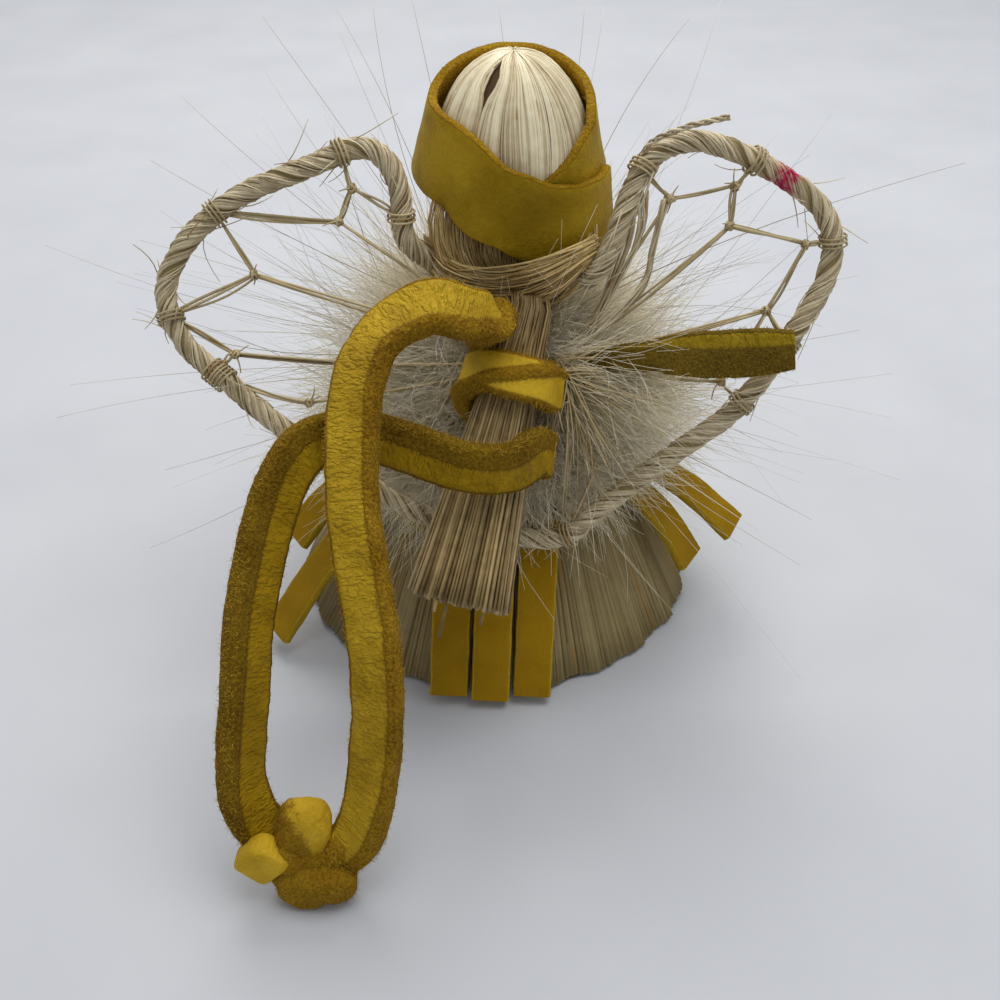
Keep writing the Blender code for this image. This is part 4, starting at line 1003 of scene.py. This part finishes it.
def build_neck():
    """Sweep of fibres across the back of the neck, and the strand that binds it."""
    rng = np.random.default_rng(31)
    rows = []
    for number, outer, inner in NECK_FANS:
        outer = [seen(*spot) for spot in outer]
        inner = [seen(*spot) for spot in inner]
        for _ in range(number):
            share = rng.random() ** 0.9
            spots = [a.lerp(b, share) + Vector(rng.normal(0.0, 0.00022, 3)) for a, b in zip(outer, inner)]
            rows.append(fibre_row(curve_through(spots, 14), rng.uniform(0.00006, 0.00013)))
    strands("neck_sweep", rows, NECK_STRAW, "doll", seed=32)
    posts = [(Vector((NECK_X, 0.0, 0.0)), NECK_RADIUS + 0.0003)]
    posts += [(Vector((NECK_X + side * STEM_SPREAD, STEM_DEPTH, 0.0)), STEM_RADIUS) for side in (-1.0, 1.0)]
    points = []
    for i in range(63):
        facing = level_way(FULL_TURN * i / TIE_STEPS + math.pi / 2.0)
        spot, radius = max(posts, key=lambda post: post[0].dot(facing) + post[1])
        points.append(spot + facing * (radius + TIE_SEAT) + UP * (TIE_BOTTOM + TIE_PITCH * i / TIE_STEPS))
    line = curve_through(points, 180)
    rows = twisted(line, 4, 0.00022, 0.0002, 0.004, 33)
    strands("neck_binding", rows, HOOP_STRAW, "doll", ("neck_tie",), seed=34)


def build_skirt_core():
    """Bell inside the skirt, painted dark as the shade between its fibres, turned from the body's own outline."""
    core = bmesh.new()
    heights = [0.0003, 0.002, 0.006, 0.012, 0.018, 0.024, 0.03, NECK_BOTTOM, 0.0405]
    spots = [(0.0, heights[0])]
    spots += [(body_radius(height) - 0.00055, height) for height in heights]
    spots.append((0.0, heights[-1]))
    verts = [core.verts.new((radius, 0.0, height)) for radius, height in spots]
    edges = [core.edges.new(pair) for pair in zip(verts, verts[1:])]
    bmesh.ops.spin(
        core,
        geom=verts + edges,
        axis=UP,
        cent=(0.0, 0.0, 0.0),
        angle=FULL_TURN,
        steps=72,
        use_merge=True,
        use_duplicate=False,
    )
    bmesh.ops.remove_doubles(core, verts=core.verts, dist=0.000001)
    bmesh.ops.recalc_face_normals(core, faces=core.faces)
    for corner in core.verts:
        corner.co.x += body_centre(corner.co.z).x
    show("skirt_core", shell_mesh("skirt_core", core), CORE_STRAW_PAINTED_SHADE, "doll", ("body_bundle",))


def build_skirt():
    """Bell of fibres from the neck to the flat-cut hem, over its core, painted dark as shade."""
    build_skirt_core()
    rng = np.random.default_rng(41)
    rows = []
    for s in range(SKIRT_FIBRES):
        turn = FULL_TURN * (s + rng.uniform(-0.8, 0.8)) / SKIRT_FIBRES
        bunch = math.sin(turn * SKIRT_FLUTES) * 0.022
        lift = rng.uniform(-0.0003, 0.0001)
        thick = rng.uniform(0.00016, 0.00034)
        bottom = rng.uniform(0.00036, 0.0006)
        spots = []
        radii = []
        for i in range(10):
            share = i / 9
            height = SKIRT_TOP + (bottom - SKIRT_TOP) * share
            now = turn - bunch * share
            groove = 0.5 - 0.5 * math.cos(SKIRT_FLUTES * now)
            ripple = noise.noise(Vector((turn * 4.0, share * 2.0, 3.0)))
            reach = body_radius(height) - 0.0004 * share * groove + lift + 0.0003 * ripple * share
            spots.append(body_centre(height) + level_way(now) * reach)
            radii.append(thick * (0.45 + 0.55 * share))
        rows.append(fibre_row(spots, radii))
    strands("skirt_fibres", rows, SKIRT_STRAW, "doll", seed=42)


def build_ponytail():
    """Straight fibres that come out over the neck and end in a square cut."""
    front, side = ponytail_frame()[1:]
    bend = [PONYTAIL_ROOT, PONYTAIL_CREST, PONYTAIL_TOP]
    step = PONYTAIL_END - PONYTAIL_TOP
    rng = np.random.default_rng(51)
    rows = []
    for s in range(TAIL_FIBRES):
        reach = math.sqrt((s + 0.5) / TAIL_FIBRES) * 0.97
        angle = s * math.pi * GOLDEN_SHARE
        a = reach * math.cos(angle)
        b = reach * math.sin(angle)
        spots = []
        radii = []
        thick = rng.uniform(0.00008, 0.00017)
        stray = held(rng.normal(0.0, 0.00035), -STRAY_LIMIT, STRAY_LIMIT)
        for i in range(5):
            share = i / 5
            place = blend_points(bend, share)
            way = (blend_points(bend, share + 0.2) - place).normalized()
            level = (side - way * side.dot(way)).normalized()
            radius = TAIL_ROOT_RADIUS + (PONYTAIL_TOP_RADIUS - TAIL_ROOT_RADIUS) * share
            rise = level.cross(way)
            if rise.dot(front) < 0.0:
                rise.negate()
            loose = stray * min(share * 1.6, 1.0)
            spots.append(place + level * (a * radius + loose) + rise * (b * radius - 0.0003 * share))
            radii.append(thick * (0.5 + 0.3 * share))
        cut = 1.0 + rng.uniform(-0.012, 0.008)
        for i in range(9):
            share = cut * i / 8
            flat = 1.0 - 0.22 * max((share - 0.58) / 0.42, 0.0)
            radius = ponytail_radius(share)
            sway = 0.00012 * noise.noise(Vector((s * 0.37, share * 2.5, 2.0)))
            loose = stray * max(1.0 - share * 2.5, 0.0)
            across = side * (a * radius + sway + loose)
            spots.append(PONYTAIL_TOP + step * share + across + front * (b * radius * flat))
            radii.append(thick * (0.8 + 0.5 * share))
        rows.append(fibre_row(spots, radii))
    for drop, across in ((1.12, -0.25), (1.05, 0.62), (1.04, -0.5)):
        spots = []
        for i in range(6):
            down = step * (0.5 + (drop - 0.5) * i / 5)
            spots.append(PONYTAIL_TOP + down + side * (across * 0.004) + front * 0.0028)
        rows.append(fibre_row(spots, 0.00016))
    strands("ponytail_fibres", rows, TAIL_STRAW, "ponytail", ("ponytail",), seed=52)


# Wing hoop and its web
HOOP_RADIUS = 0.00115
LEFT_OUTLINE_SHARES = (
    (-0.185, 0.665, 0.78), (-0.262, 0.76, 0.12), (-0.272, 0.88, 0.0), (-0.32, 0.955, 0.0),
    (-0.40, 0.975, 0.0), (-0.55, 0.925, 0.0), (-0.73, 0.865, 0.0), (-0.89, 0.76, 0.0),
    (-0.97, 0.63, 0.0), (-0.925, 0.50, 0.0), (-0.79, 0.39, 0.0), (-0.66, 0.29, 0.0),
    (-0.47, 0.175, 0.0), (-0.27, 0.065, 0.0), (-0.05, 0.0, 0.0), (0.13, -0.02, 0.0),
    (0.24, -0.005, 0.0),
)
RIGHT_OUTLINE_SHARES = (
    (0.36, 0.085, 0.0), (0.55, 0.21, 0.0), (0.74, 0.335, 0.0), (0.90, 0.53, 0.0),
    (0.98, 0.66, 0.0), (0.99, 0.77, 0.0), (0.92, 0.86, 0.0), (0.79, 0.93, 0.0),
    (0.66, 0.98, 0.0), (0.55, 0.99, 0.0), (0.45, 0.95, 0.0), (0.395, 0.86, 0.0),
    (0.35, 0.75, 0.0), (0.29, 0.655, 0.2),
)
WEB_KNOT_SHARES = {
    "left_high": (-0.41, 0.88),
    "left_top": (-0.452, 0.80),
    "left_outer": (-0.705, 0.67),
    "left_low": (-0.775, 0.47),
    "left_foot": (-0.56, 0.345),
    "right_stem": (0.515, 0.855),
    "right_top": (0.70, 0.885),
    "right_mid": (0.69, 0.79),
    "right_outer": (0.915, 0.745),
    "right_low": (0.81, 0.58),
    "right_foot": (0.685, 0.40),
    "tip": (0.31, 0.175),
}
WEB_STRANDS = (
    ("left_high", "left_top"), ("left_top", "hub"), ("left_outer", "hub"), ("left_low", "hub"),
    ("left_foot", "hub"), ("right_stem", "hub"), ("right_stem", "right_top"),
    ("right_top", "right_mid"), ("right_mid", "hub"), ("right_mid", "right_outer"),
    ("right_outer", "right_low"), ("right_low", "hub"), ("right_low", "right_foot"),
    ("right_foot", "hub"), ("tip", "hub"),
)
WEB_ANCHOR_SHARES = (
    ("left_high", (-0.435, 0.97)), ("left_high", (-0.285, 0.815)), ("left_top", (-0.80, 0.822)),
    ("left_outer", (-0.80, 0.822)), ("left_outer", (-0.952, 0.573)), ("left_low", (-0.952, 0.573)),
    ("left_low", (-0.84, 0.43)), ("left_foot", (-0.81, 0.417)), ("right_stem", (0.435, 0.93)),
    ("right_top", (0.755, 0.945)), ("right_outer", (0.995, 0.745)), ("right_low", (0.885, 0.50)),
    ("right_foot", (0.745, 0.345)), ("tip", (0.235, -0.005)),
)
WEB_KNOT_SIZES = (0.00042, 5, 2)
WEB_HUB_SIZES = (0.0008, 14, 0)
WEB_STRIP_END = mm(8.3, -11.0, 34.2)
HUB_SHARES = (0.212, 0.41)
HUB_PULL = 0.0034
HUB_ENDS_PIXEL = (562, 372, -14.6)
STEM_DEPTH = -0.0046
STEM_SPREAD = 0.004
STEM_RADIUS = 0.0012
STEM_HEIGHTS = (0.0342, 0.0368, 0.0394)
HOOP_TOP = 0.054
HOOP_HEIGHT = 0.0355
HOOP_TOP_DEPTH = -0.0042
HOOP_TILT_SHARE = 0.395
HOOP_HALF_SPAN = 0.0325
HOOP_POINTS = 330
LOOSE_TOP_PIXELS = ((640, 162, -5.0), (652, 142, -5.5), (690, 126, -6.0), (730, 117, -6.5))
LOOSE_STEM_PIXELS = (
    ((655, 165, -5.6), (636, 205, -6.6), (622, 250, -7.2), (590, 330, -8.6)),
    ((640, 190, -6.0), (640, 230, -7.0), (622, 275, -7.8), (585, 345, -9.0)),
    ((665, 200, -6.4), (652, 245, -7.2), (640, 290, -8.2), (580, 352, -9.4)),
)
# Each spot: finish, place, reach, colour and how soft its edge is; the first is a real pink dye mark on the hoop,
# the others are painted shade
DYE_AND_SHADE_MARKS = (
    (HOOP_STRAW, mm(27.4, -5.3, 50.6), 0.0017, (0.42, 0.0, 0.06), 0.0),
    # painted shade on the headband's lower front
    (BAND_HIDE, seen(535, 222, -10.0), 0.0042, (0.19, 0.11, 0.001), 0.8),
    # painted shade on the ponytail's top, between the thong's turns
    (TAIL_STRAW, mm(2.9, -11.0, 41.0), 0.0052, (0.125, 0.068, 0.012), 0.8),
    # painted shade on the neck sweep under the headband
    (NECK_STRAW, seen(515, 292, -9.5), 0.0042, (0.20, 0.11, 0.025), 0.8),
)


def hoop_place(across, up, seat=0.0, pull=0.0):
    """Place on the tilted wing plane."""
    height = HOOP_TOP - HOOP_HEIGHT * (1.0 - up)
    depth = HOOP_TOP_DEPTH - HOOP_TILT_SHARE * (HOOP_TOP - height)
    depth += (STEM_DEPTH - depth) * seat + pull
    return Vector((HOOP_HALF_SPAN * across, depth, height))


def hoop_line():
    """Evenly spaced points from the left stem round the heart to the right stem."""
    left = Vector((NECK_X - STEM_SPREAD, STEM_DEPTH, 0.0))
    right = Vector((NECK_X + STEM_SPREAD, STEM_DEPTH, 0.0))
    rows = [left + UP * height for height in STEM_HEIGHTS]
    rows += [hoop_place(*row) for row in LEFT_OUTLINE_SHARES + RIGHT_OUTLINE_SHARES]
    rows += [right + UP * height for height in reversed(STEM_HEIGHTS)]
    return curve_through(rows, HOOP_POINTS)


def limit_moves(body):
    """Where its joints take a body: each alone at its limit, then all of them together."""
    moves = []
    while body != "doll":
        joint = next(row for row in frame["joints"] if row["child"] == body)
        pivot = Matrix.Translation(Vector(joint["pos_m"]))
        turn = Matrix.Rotation(math.radians(joint["range_deg"][1]), 4, Vector(joint["axis"]))
        moves.insert(0, pivot @ turn @ pivot.inverted())
        body = joint["parent"]
    if len(moves) > 1:
        moves.append(moves[0] @ moves[1])
    return moves


def leather_space(pieces, at_rest):
    """The surfaces of moving leather at its joints' limits, and at rest too, as one tree."""
    spots = []
    sides = []
    for name, body in pieces:
        mesh = bpy.data.objects[name].data
        for move in limit_moves(body) + [Matrix.Identity(4)] * at_rest:
            first = len(spots)
            spots += [move @ corner.co for corner in mesh.vertices]
            sides += [[first + k for k in side.vertices] for side in mesh.polygons]
    return BVHTree.FromPolygons(spots, sides)


def cut_short(rows, leather):
    """Shorten the hairs that moving leather would be pushed through."""
    kept = []
    for row in rows:
        for i in range(len(row) - 1):
            start = Vector(row[i, :3])
            step = Vector(row[i + 1, :3]) - start
            reach = leather.ray_cast(start, step.normalized(), step.length)[3]
            if reach is not None:
                share = (i + reach / step.length) / (len(row) - 1)
                if share > 0.15:
                    row = row.copy()
                    row[:, :3] = row[0, :3] + (row[:, :3] - row[0, :3]) * share * 0.85
                break
        kept.append(row)
    return kept


def dye_and_shade_mark(finish, centre, reach, colour, soft):
    """Add one spot of colour to a finish, round a place, used for the dye mark and for painted shade; soft spreads
    its edge.
    """
    tree = finish.node_tree
    base = tree.nodes["Principled BSDF"].inputs["Base Color"]
    before = base.links[0].from_socket
    place = object_place(tree)
    away = put(tree, "ShaderNodeVectorMath", {0: place, 1: tuple(centre)}, operation="DISTANCE").outputs["Value"]
    edge = sums(tree, "MULTIPLY_ADD", noise_on(tree, place, 1500.0), reach * 0.9, away)
    mask = span(tree, edge, reach * (1.6 + soft), reach * (1.1 - soft))
    tree.links.new(blend_colour(tree, mask, before, rgba(colour)), base)


def build_hoop():
    """Rod wrapped in twisted fibre, with loose ends at the right stem."""
    line = hoop_line()
    round_core("hoop_core", line, 0.00080, 10, SKIRT_STRAW, "doll", ("wing_hoop",))
    rows = twisted(line, 19, 0.00083, 0.00017, 0.0074, 61, swell=0.35)
    rng = np.random.default_rng(62)
    for s in range(7):
        rows += twisted(line, 1, 0.00101, 0.00008, rng.uniform(0.005, 0.009), 63 + s)
    frames = carried_frames(line)
    for _ in range(110):
        i = int(rng.integers(6, len(line) - 6))
        angle = rng.uniform(0.0, FULL_TURN)
        normal, other = frames[i]
        outward = normal * math.cos(angle) + other * math.sin(angle)
        along = (line[i + 1] - line[i]).normalized() * rng.choice((-1.0, 1.0))
        way = (along + outward * rng.uniform(0.15, 0.9)).normalized()
        bend = Vector(rng.normal(0.0, 0.25, 3))
        rows.append(hair_row(line[i] + outward * 0.0011, way, rng.uniform(0.001, 0.0035), bend, 0.00006, 0.00003))
    strands("hoop_wrapping", rows, HOOP_STRAW, "doll", seed=64)
    top = [seen(*spot) for spot in LOOSE_TOP_PIXELS]
    rows = twisted(curve_through(top, 26), 3, 0.0002, 0.00013, 0.003, 71)
    for places in LOOSE_STEM_PIXELS:
        places = [seen(*spot) for spot in places]
        for _ in range(9):
            moved = [place + Vector(rng.normal(0.0, 0.00022, 3)) for place in places]
            rows.append(fibre_row(curve_through(moved, 14), rng.uniform(0.00009, 0.00018)))
    strands("hoop_loose_ends", rows, HOOP_STRAW, "doll", seed=72)


def build_web():
    """Net of doubled strands, knotted where they meet and looped on the hoop."""
    hub = hoop_place(*HUB_SHARES, pull=HUB_PULL)
    knots = {name: hoop_place(*shares) for name, shares in WEB_KNOT_SHARES.items()}
    knots["hub"] = hub
    line = hoop_line()
    frames = carried_frames(line)
    rng = np.random.default_rng(81)
    runs = [(knots[a], knots[b]) for a, b in WEB_STRANDS]
    rows = []
    for name, shares in WEB_ANCHOR_SHARES:
        aim = hoop_place(*shares)
        i = min(range(len(line)), key=lambda k: (line[k] - aim).length)
        off = (knots[name] - line[i]).normalized()
        runs.append((knots[name], line[i] + off * HOOP_RADIUS))
        normal, other = frames[i]
        along = (line[min(i + 1, len(line) - 1)] - line[max(i - 1, 0)]).normalized()
        for shift in (-0.0003, 0.0001, 0.0005):
            loop = []
            for k in range(15):
                angle = FULL_TURN * k / 14
                around = normal * math.cos(angle) + other * math.sin(angle)
                loop.append(line[i] + around * 0.0013 + along * (shift + 0.0003 * math.sin(angle)))
            rows.append(fibre_row(loop, 0.00012))
    runs.append((hub, WEB_STRIP_END))
    for start, end in runs:
        length = (end - start).length
        sag = Vector((0.0, rng.uniform(-0.3, 0.3), -rng.uniform(0.2, 0.8))) * 0.035 * length
        for _ in range(3):
            shift = rng.normal(0.0, 0.00017, 3)
            other_shift = rng.normal(0.0, 0.00017, 3)
            spots = []
            for i in range(9):
                share = i / 8
                middle = math.sin(math.pi * share)
                drift = Vector(shift) * (1.0 - share) + Vector(other_shift) * share
                spots.append(start.lerp(end, share) + sag * middle + drift * (0.5 + 0.8 * middle))
            rows.append(fibre_row(spots, rng.uniform(0.0001, 0.00018)))
    for name, centre in knots.items():
        size, windings, ends = WEB_HUB_SIZES if name == "hub" else WEB_KNOT_SIZES
        for _ in range(windings):
            axis = Vector(rng.normal(0.0, 1.0, 3)).normalized()
            first = axis.orthogonal().normalized()
            second = axis.cross(first)
            loop = []
            for k in range(11):
                angle = FULL_TURN * k / 10
                around = (first * math.cos(angle) + second * math.sin(angle)) * size
                loop.append(centre + around * rng.uniform(0.75, 1.1))
            rows.append(fibre_row(loop, 0.00014))
        for _ in range(ends):
            way = Vector(rng.normal(0.0, 1.0, 3)).normalized()
            rows.append(hair_row(centre, way, rng.uniform(0.0008, 0.0020), way.orthogonal() * 0.4, 0.0001, 0.00005))
    strands("web_net", rows, WEB_STRAW, "doll", ("wing_web",), seed=82)
    build_hub_ends(rng)


def build_hub_ends(rng):
    """Loose strand ends that fan out from the net's hub."""
    rows = []
    root = seen(*HUB_ENDS_PIXEL)
    level = Vector((0.0, math.cos(CAMERA_TILT), math.sin(CAMERA_TILT)))
    for _ in range(150):
        angle = math.radians(rng.uniform(-165.0, 35.0))
        way = RIGHT * math.cos(angle) + level * math.sin(angle) + Vector((0.0, -0.25, rng.uniform(-0.1, 0.3)))
        bend = Vector((rng.uniform(-0.3, 0.3), rng.uniform(0.0, 0.4), -rng.uniform(0.1, 0.6)))
        start = root + Vector(rng.normal(0.0, 0.0005, 3))
        rows.append(hair_row(start, way.normalized(), rng.uniform(0.003, 0.0115), bend, 0.00009, 0.00005, 8))
    leather = leather_space((("side_suede", "side_strip"), ("thong_back_run", "thong")), 0)
    strands("hub_ends", cut_short(rows, leather), WEB_STRAW, "doll", seed=83)


# Fur wrap
FUR_BOTTOM = 0.0182
FUR_TOP = 0.0334
REACH_LOW = mm(-43.5, -58.0, 0.6)
REACH_HIGH = mm(43.5, 35.0, 71.0)
FUR_SEAT = 0.0012
UNDERFUR_HAIRS = 6900
UNDERFUR_PARTS = (
    ("underfur_low", 0.0180, 0.0235), ("underfur_middle", 0.0235, 0.0290), ("underfur_high", 0.0290, 0.0352),
)
# Heights, climb, spread, lengths, share kept near the camera, stray, droop, root, tip and points
MIDDLE_HAIR = ((0.0190, 0.0350), 0.35, 0.5, (0.006, 0.014), 1.0, 0.24, 0.0, 0.000036, 0.000012, 6)
GUARD_HAIR = ((0.0200, 0.0345), 0.45, 0.45, (0.014, 0.030), 0.42, 0.16, 0.05, 0.00005, 0.000016, 10)
MIDDLE_HAIRS = 3000
HUB_SIDE_HAIRS = 900
GUARD_HAIRS = 230
WING_SIDE_HAIRS = 420
# Where guard hairs end in the photograph, by pixel and depth
GUARD_TIP_PIXELS = (
    (30, 425, -19), (45, 245, -6), (180, 95, 8), (262, 16, 16), (332, 2, 14), (373, 8, 10),
    (412, 0, 10), (498, 2, 12), (585, 2, 14), (604, 6, 20), (690, 18, 14), (682, 108, 4),
    (965, 163, -8), (812, 520, -22), (800, 565, -28), (930, 490, -17), (757, 530, -30),
    (150, 548, -20), (165, 470, -22), (70, 385, -12), (150, 320, -4), (140, 240, 0), (160, 210, 2),
    (150, 160, 4), (860, 330, -6), (770, 250, 6), (742, 545, -26), (205, 430, -16),
)


def held_in(row):
    """Shorten a hair that would leave the doll's own space."""
    inside = np.all((row[:, :3] > REACH_LOW) & (row[:, :3] < REACH_HIGH), axis=1)
    if inside.all():
        return row
    last = max(int(np.argmin(inside)), 3)
    kept = row[:last].copy()
    kept[:, 3] = np.linspace(kept[0, 3], row[-1, 3], last)
    return kept


def fur_root(outward, height):
    """Place on the hide where a hair grows."""
    return body_centre(height) + outward * (body_radius(height) + FUR_SEAT)


def underfur_hair(rng, low, high):
    """One short hair of the underfur, bunched in tufts."""
    turn = rng.uniform(0.0, FULL_TURN)
    height = rng.uniform(low, high)
    share = (height - FUR_BOTTOM) / (FUR_TOP - FUR_BOTTOM)
    outward = level_way(turn)
    tuft = noise.noise(Vector((math.cos(turn) * 3.0, math.sin(turn) * 3.0, height * 300.0)))
    climb = -0.35 + 1.2 * share + rng.normal(0.0, 0.40) + 0.6 * tuft
    around = UP.cross(outward)
    way = (outward + UP * climb + around * (rng.normal(0.0, 0.35) + 0.4 * tuft)).normalized()
    length = rng.uniform(0.004, 0.0086) * (1.0 + 0.6 * tuft) * (0.75 if outward.y < -0.3 else 1.15)
    bend = Vector(rng.normal(0.0, 0.30, 3)) - UP * 0.12
    row = hair_row(fur_root(outward, height), way, length, bend, 0.000040, 0.000016, 4)
    row[:, 2] = np.maximum(row[:, 2], 0.0006)
    return row


def body_hair(rng, heights, climb, spread, lengths, near_share, stray, droop, thick, tip, count):
    """One long hair from the hide; near_share shortens those that point at the camera."""
    outward = level_way(rng.uniform(0.0, FULL_TURN))
    height = rng.uniform(*heights)
    rise = rng.normal(climb, 0.6)
    way = (outward + UP * rise + UP.cross(outward) * rng.normal(0.0, spread)).normalized()
    length = rng.uniform(*lengths) * (near_share if way.y < -0.25 else 1.0)
    bend = Vector(rng.normal(0.0, stray, 3)) - UP * droop
    return held_in(hair_row(fur_root(outward, height), way, length, bend, thick, tip, count))


def hub_side_hair(rng):
    """One hair of the tuft in front of the torso's right side."""
    root = mm(rng.uniform(4.0, 14.0), rng.uniform(-11.5, -9.0), rng.uniform(28.0, 35.5))
    way = Vector((rng.uniform(0.2, 1.0), rng.uniform(-0.75, -0.25), rng.uniform(-0.2, 0.5))).normalized()
    bend = Vector(rng.normal(0.0, 0.22, 3))
    return held_in(hair_row(root, way, rng.uniform(0.005, 0.011), bend, 0.000036, 0.000012, 6))


def seen_hair(rng, tip):
    """One guard hair that ends at a place seen in the photograph."""
    side = tip - body_centre(0.028)
    outward = Vector((side.x, side.y, 0.0)).normalized()
    root = fur_root(outward, 0.0215 + 0.012 * held(side.normalized().z + 0.5))
    reach = tip - root
    bend = Vector(rng.normal(0.0, 0.12, 3))
    way = reach / reach.length - bend
    return held_in(hair_row(root, way, reach.length, bend, 0.00006, 0.00002, 14))


def wing_side_hair(rng):
    """One fine hair that stands out towards a wing."""
    turn = rng.uniform(-0.9, 0.9)
    outward = Vector((rng.choice((-1.0, 1.0)) * math.cos(turn), math.sin(turn), 0.0))
    height = rng.uniform(0.0240, 0.0345)
    way = (outward + UP * rng.uniform(-0.2, 1.1) + Vector(rng.normal(0.0, 0.25, 3))).normalized()
    bend = Vector(rng.normal(0.0, 0.3, 3))
    length = rng.uniform(0.010, 0.022)
    return held_in(hair_row(fur_root(outward, height), way, length, bend, 0.000034, 0.000012, 10))


def build_fur():
    """Hide strip, dense underfur and long guard hairs round the torso."""
    pieces = [(name + "_strip", name) for name in FRINGE_STRIPS]
    pieces += [(name, "thong") for name in ("thong_front_run", "thong_back_run", "thong_turns", "thong_knot")]
    leather = leather_space(pieces + [("side_suede", "side_strip")], 1)
    points, faces = body_ring((FUR_BOTTOM + FUR_TOP) / 2.0, 0.0009, 0.58, 72)
    shell = strap_shell(points, faces, 0.0165, 0.0011, 9.0, closed=True)
    show("fur_hide", shell_mesh("fur_hide", shell), WAD_STRAW, "doll", ("fur_wrap",))
    rng = np.random.default_rng(91)
    for part, (name, low, high) in enumerate(UNDERFUR_PARTS):
        rows = [underfur_hair(rng, low, high) for _ in range(UNDERFUR_HAIRS)]
        strands(name, cut_short(rows, leather), FUR, "doll", seed=92 + part)
    rows = [body_hair(rng, *MIDDLE_HAIR) for _ in range(MIDDLE_HAIRS)]
    rows += [hub_side_hair(rng) for _ in range(HUB_SIDE_HAIRS)]
    strands("fur_middle_hairs", cut_short(rows, leather), FUR, "doll", seed=98)
    rows = [body_hair(rng, *GUARD_HAIR) for _ in range(GUARD_HAIRS)]
    rows += [seen_hair(rng, seen(*tip)) for tip in GUARD_TIP_PIXELS]
    rows += [wing_side_hair(rng) for _ in range(WING_SIDE_HAIRS)]
    strands("fur_guard_hairs", cut_short(rows, leather), GUARD_FUR, "doll", seed=96)


# Floor and light
LAMP_AIM = Vector((0.0, -0.01, 0.02))


def build_studio():
    """Plain pale floor under soft light from above and behind the doll."""
    ground = bmesh.new()
    bmesh.ops.create_grid(ground, x_segments=1, y_segments=1, size=1.5)
    mesh = shell_mesh("floor", ground)
    made, tree, shader = new_finish("pale_floor", {"Roughness": 0.9})
    shade = span(tree, noise_on(tree, object_place(tree), 40.0, 3.0), 0.3, 0.7)
    colour = blend_colour(tree, shade, (0.53, 0.54, 0.57, 1.0), (0.57, 0.58, 0.61, 1.0))
    tree.links.new(colour, shader.inputs["Base Color"])
    mesh.materials.append(made)
    floor = bpy.data.objects.new("floor", mesh)
    bpy.context.collection.objects.link(floor)
    world = bpy.data.worlds.new("studio")
    bpy.context.scene.world = world
    world.use_nodes = True
    sky = world.node_tree.nodes["Background"]
    sky.inputs["Color"].default_value = (0.92, 0.96, 1.0, 1.0)
    sky.inputs["Strength"].default_value = 0.44
    for name, place, size, power, tint in (
        ("window_light", (-0.03, 0.26, 0.40), 0.24, 1.1, (1.0, 0.98, 0.94)),
        ("ceiling_light", (0.10, -0.04, 0.50), 0.35, 1.15, (1.0, 1.0, 1.0)),
    ):
        lamp_data = bpy.data.lights.new(name, "AREA")
        lamp_data.size = size
        lamp_data.energy = power
        lamp_data.color = tint
        lamp = bpy.data.objects.new(name, lamp_data)
        lamp.location = place
        lamp.rotation_euler = (LAMP_AIM - Vector(place)).to_track_quat("-Z", "Y").to_euler()
        bpy.context.collection.objects.link(lamp)


build_thong()
build_knot()
build_headband()
build_waist_band()
build_fringe()
build_side_strip()
build_head()
build_neck()
build_skirt()
build_ponytail()
build_hoop()
# Dye mark and painted shade spots
for mark in DYE_AND_SHADE_MARKS:
    dye_and_shade_mark(*mark)
build_web()
build_fur()
build_studio()

bpy.context.view_layer.update()
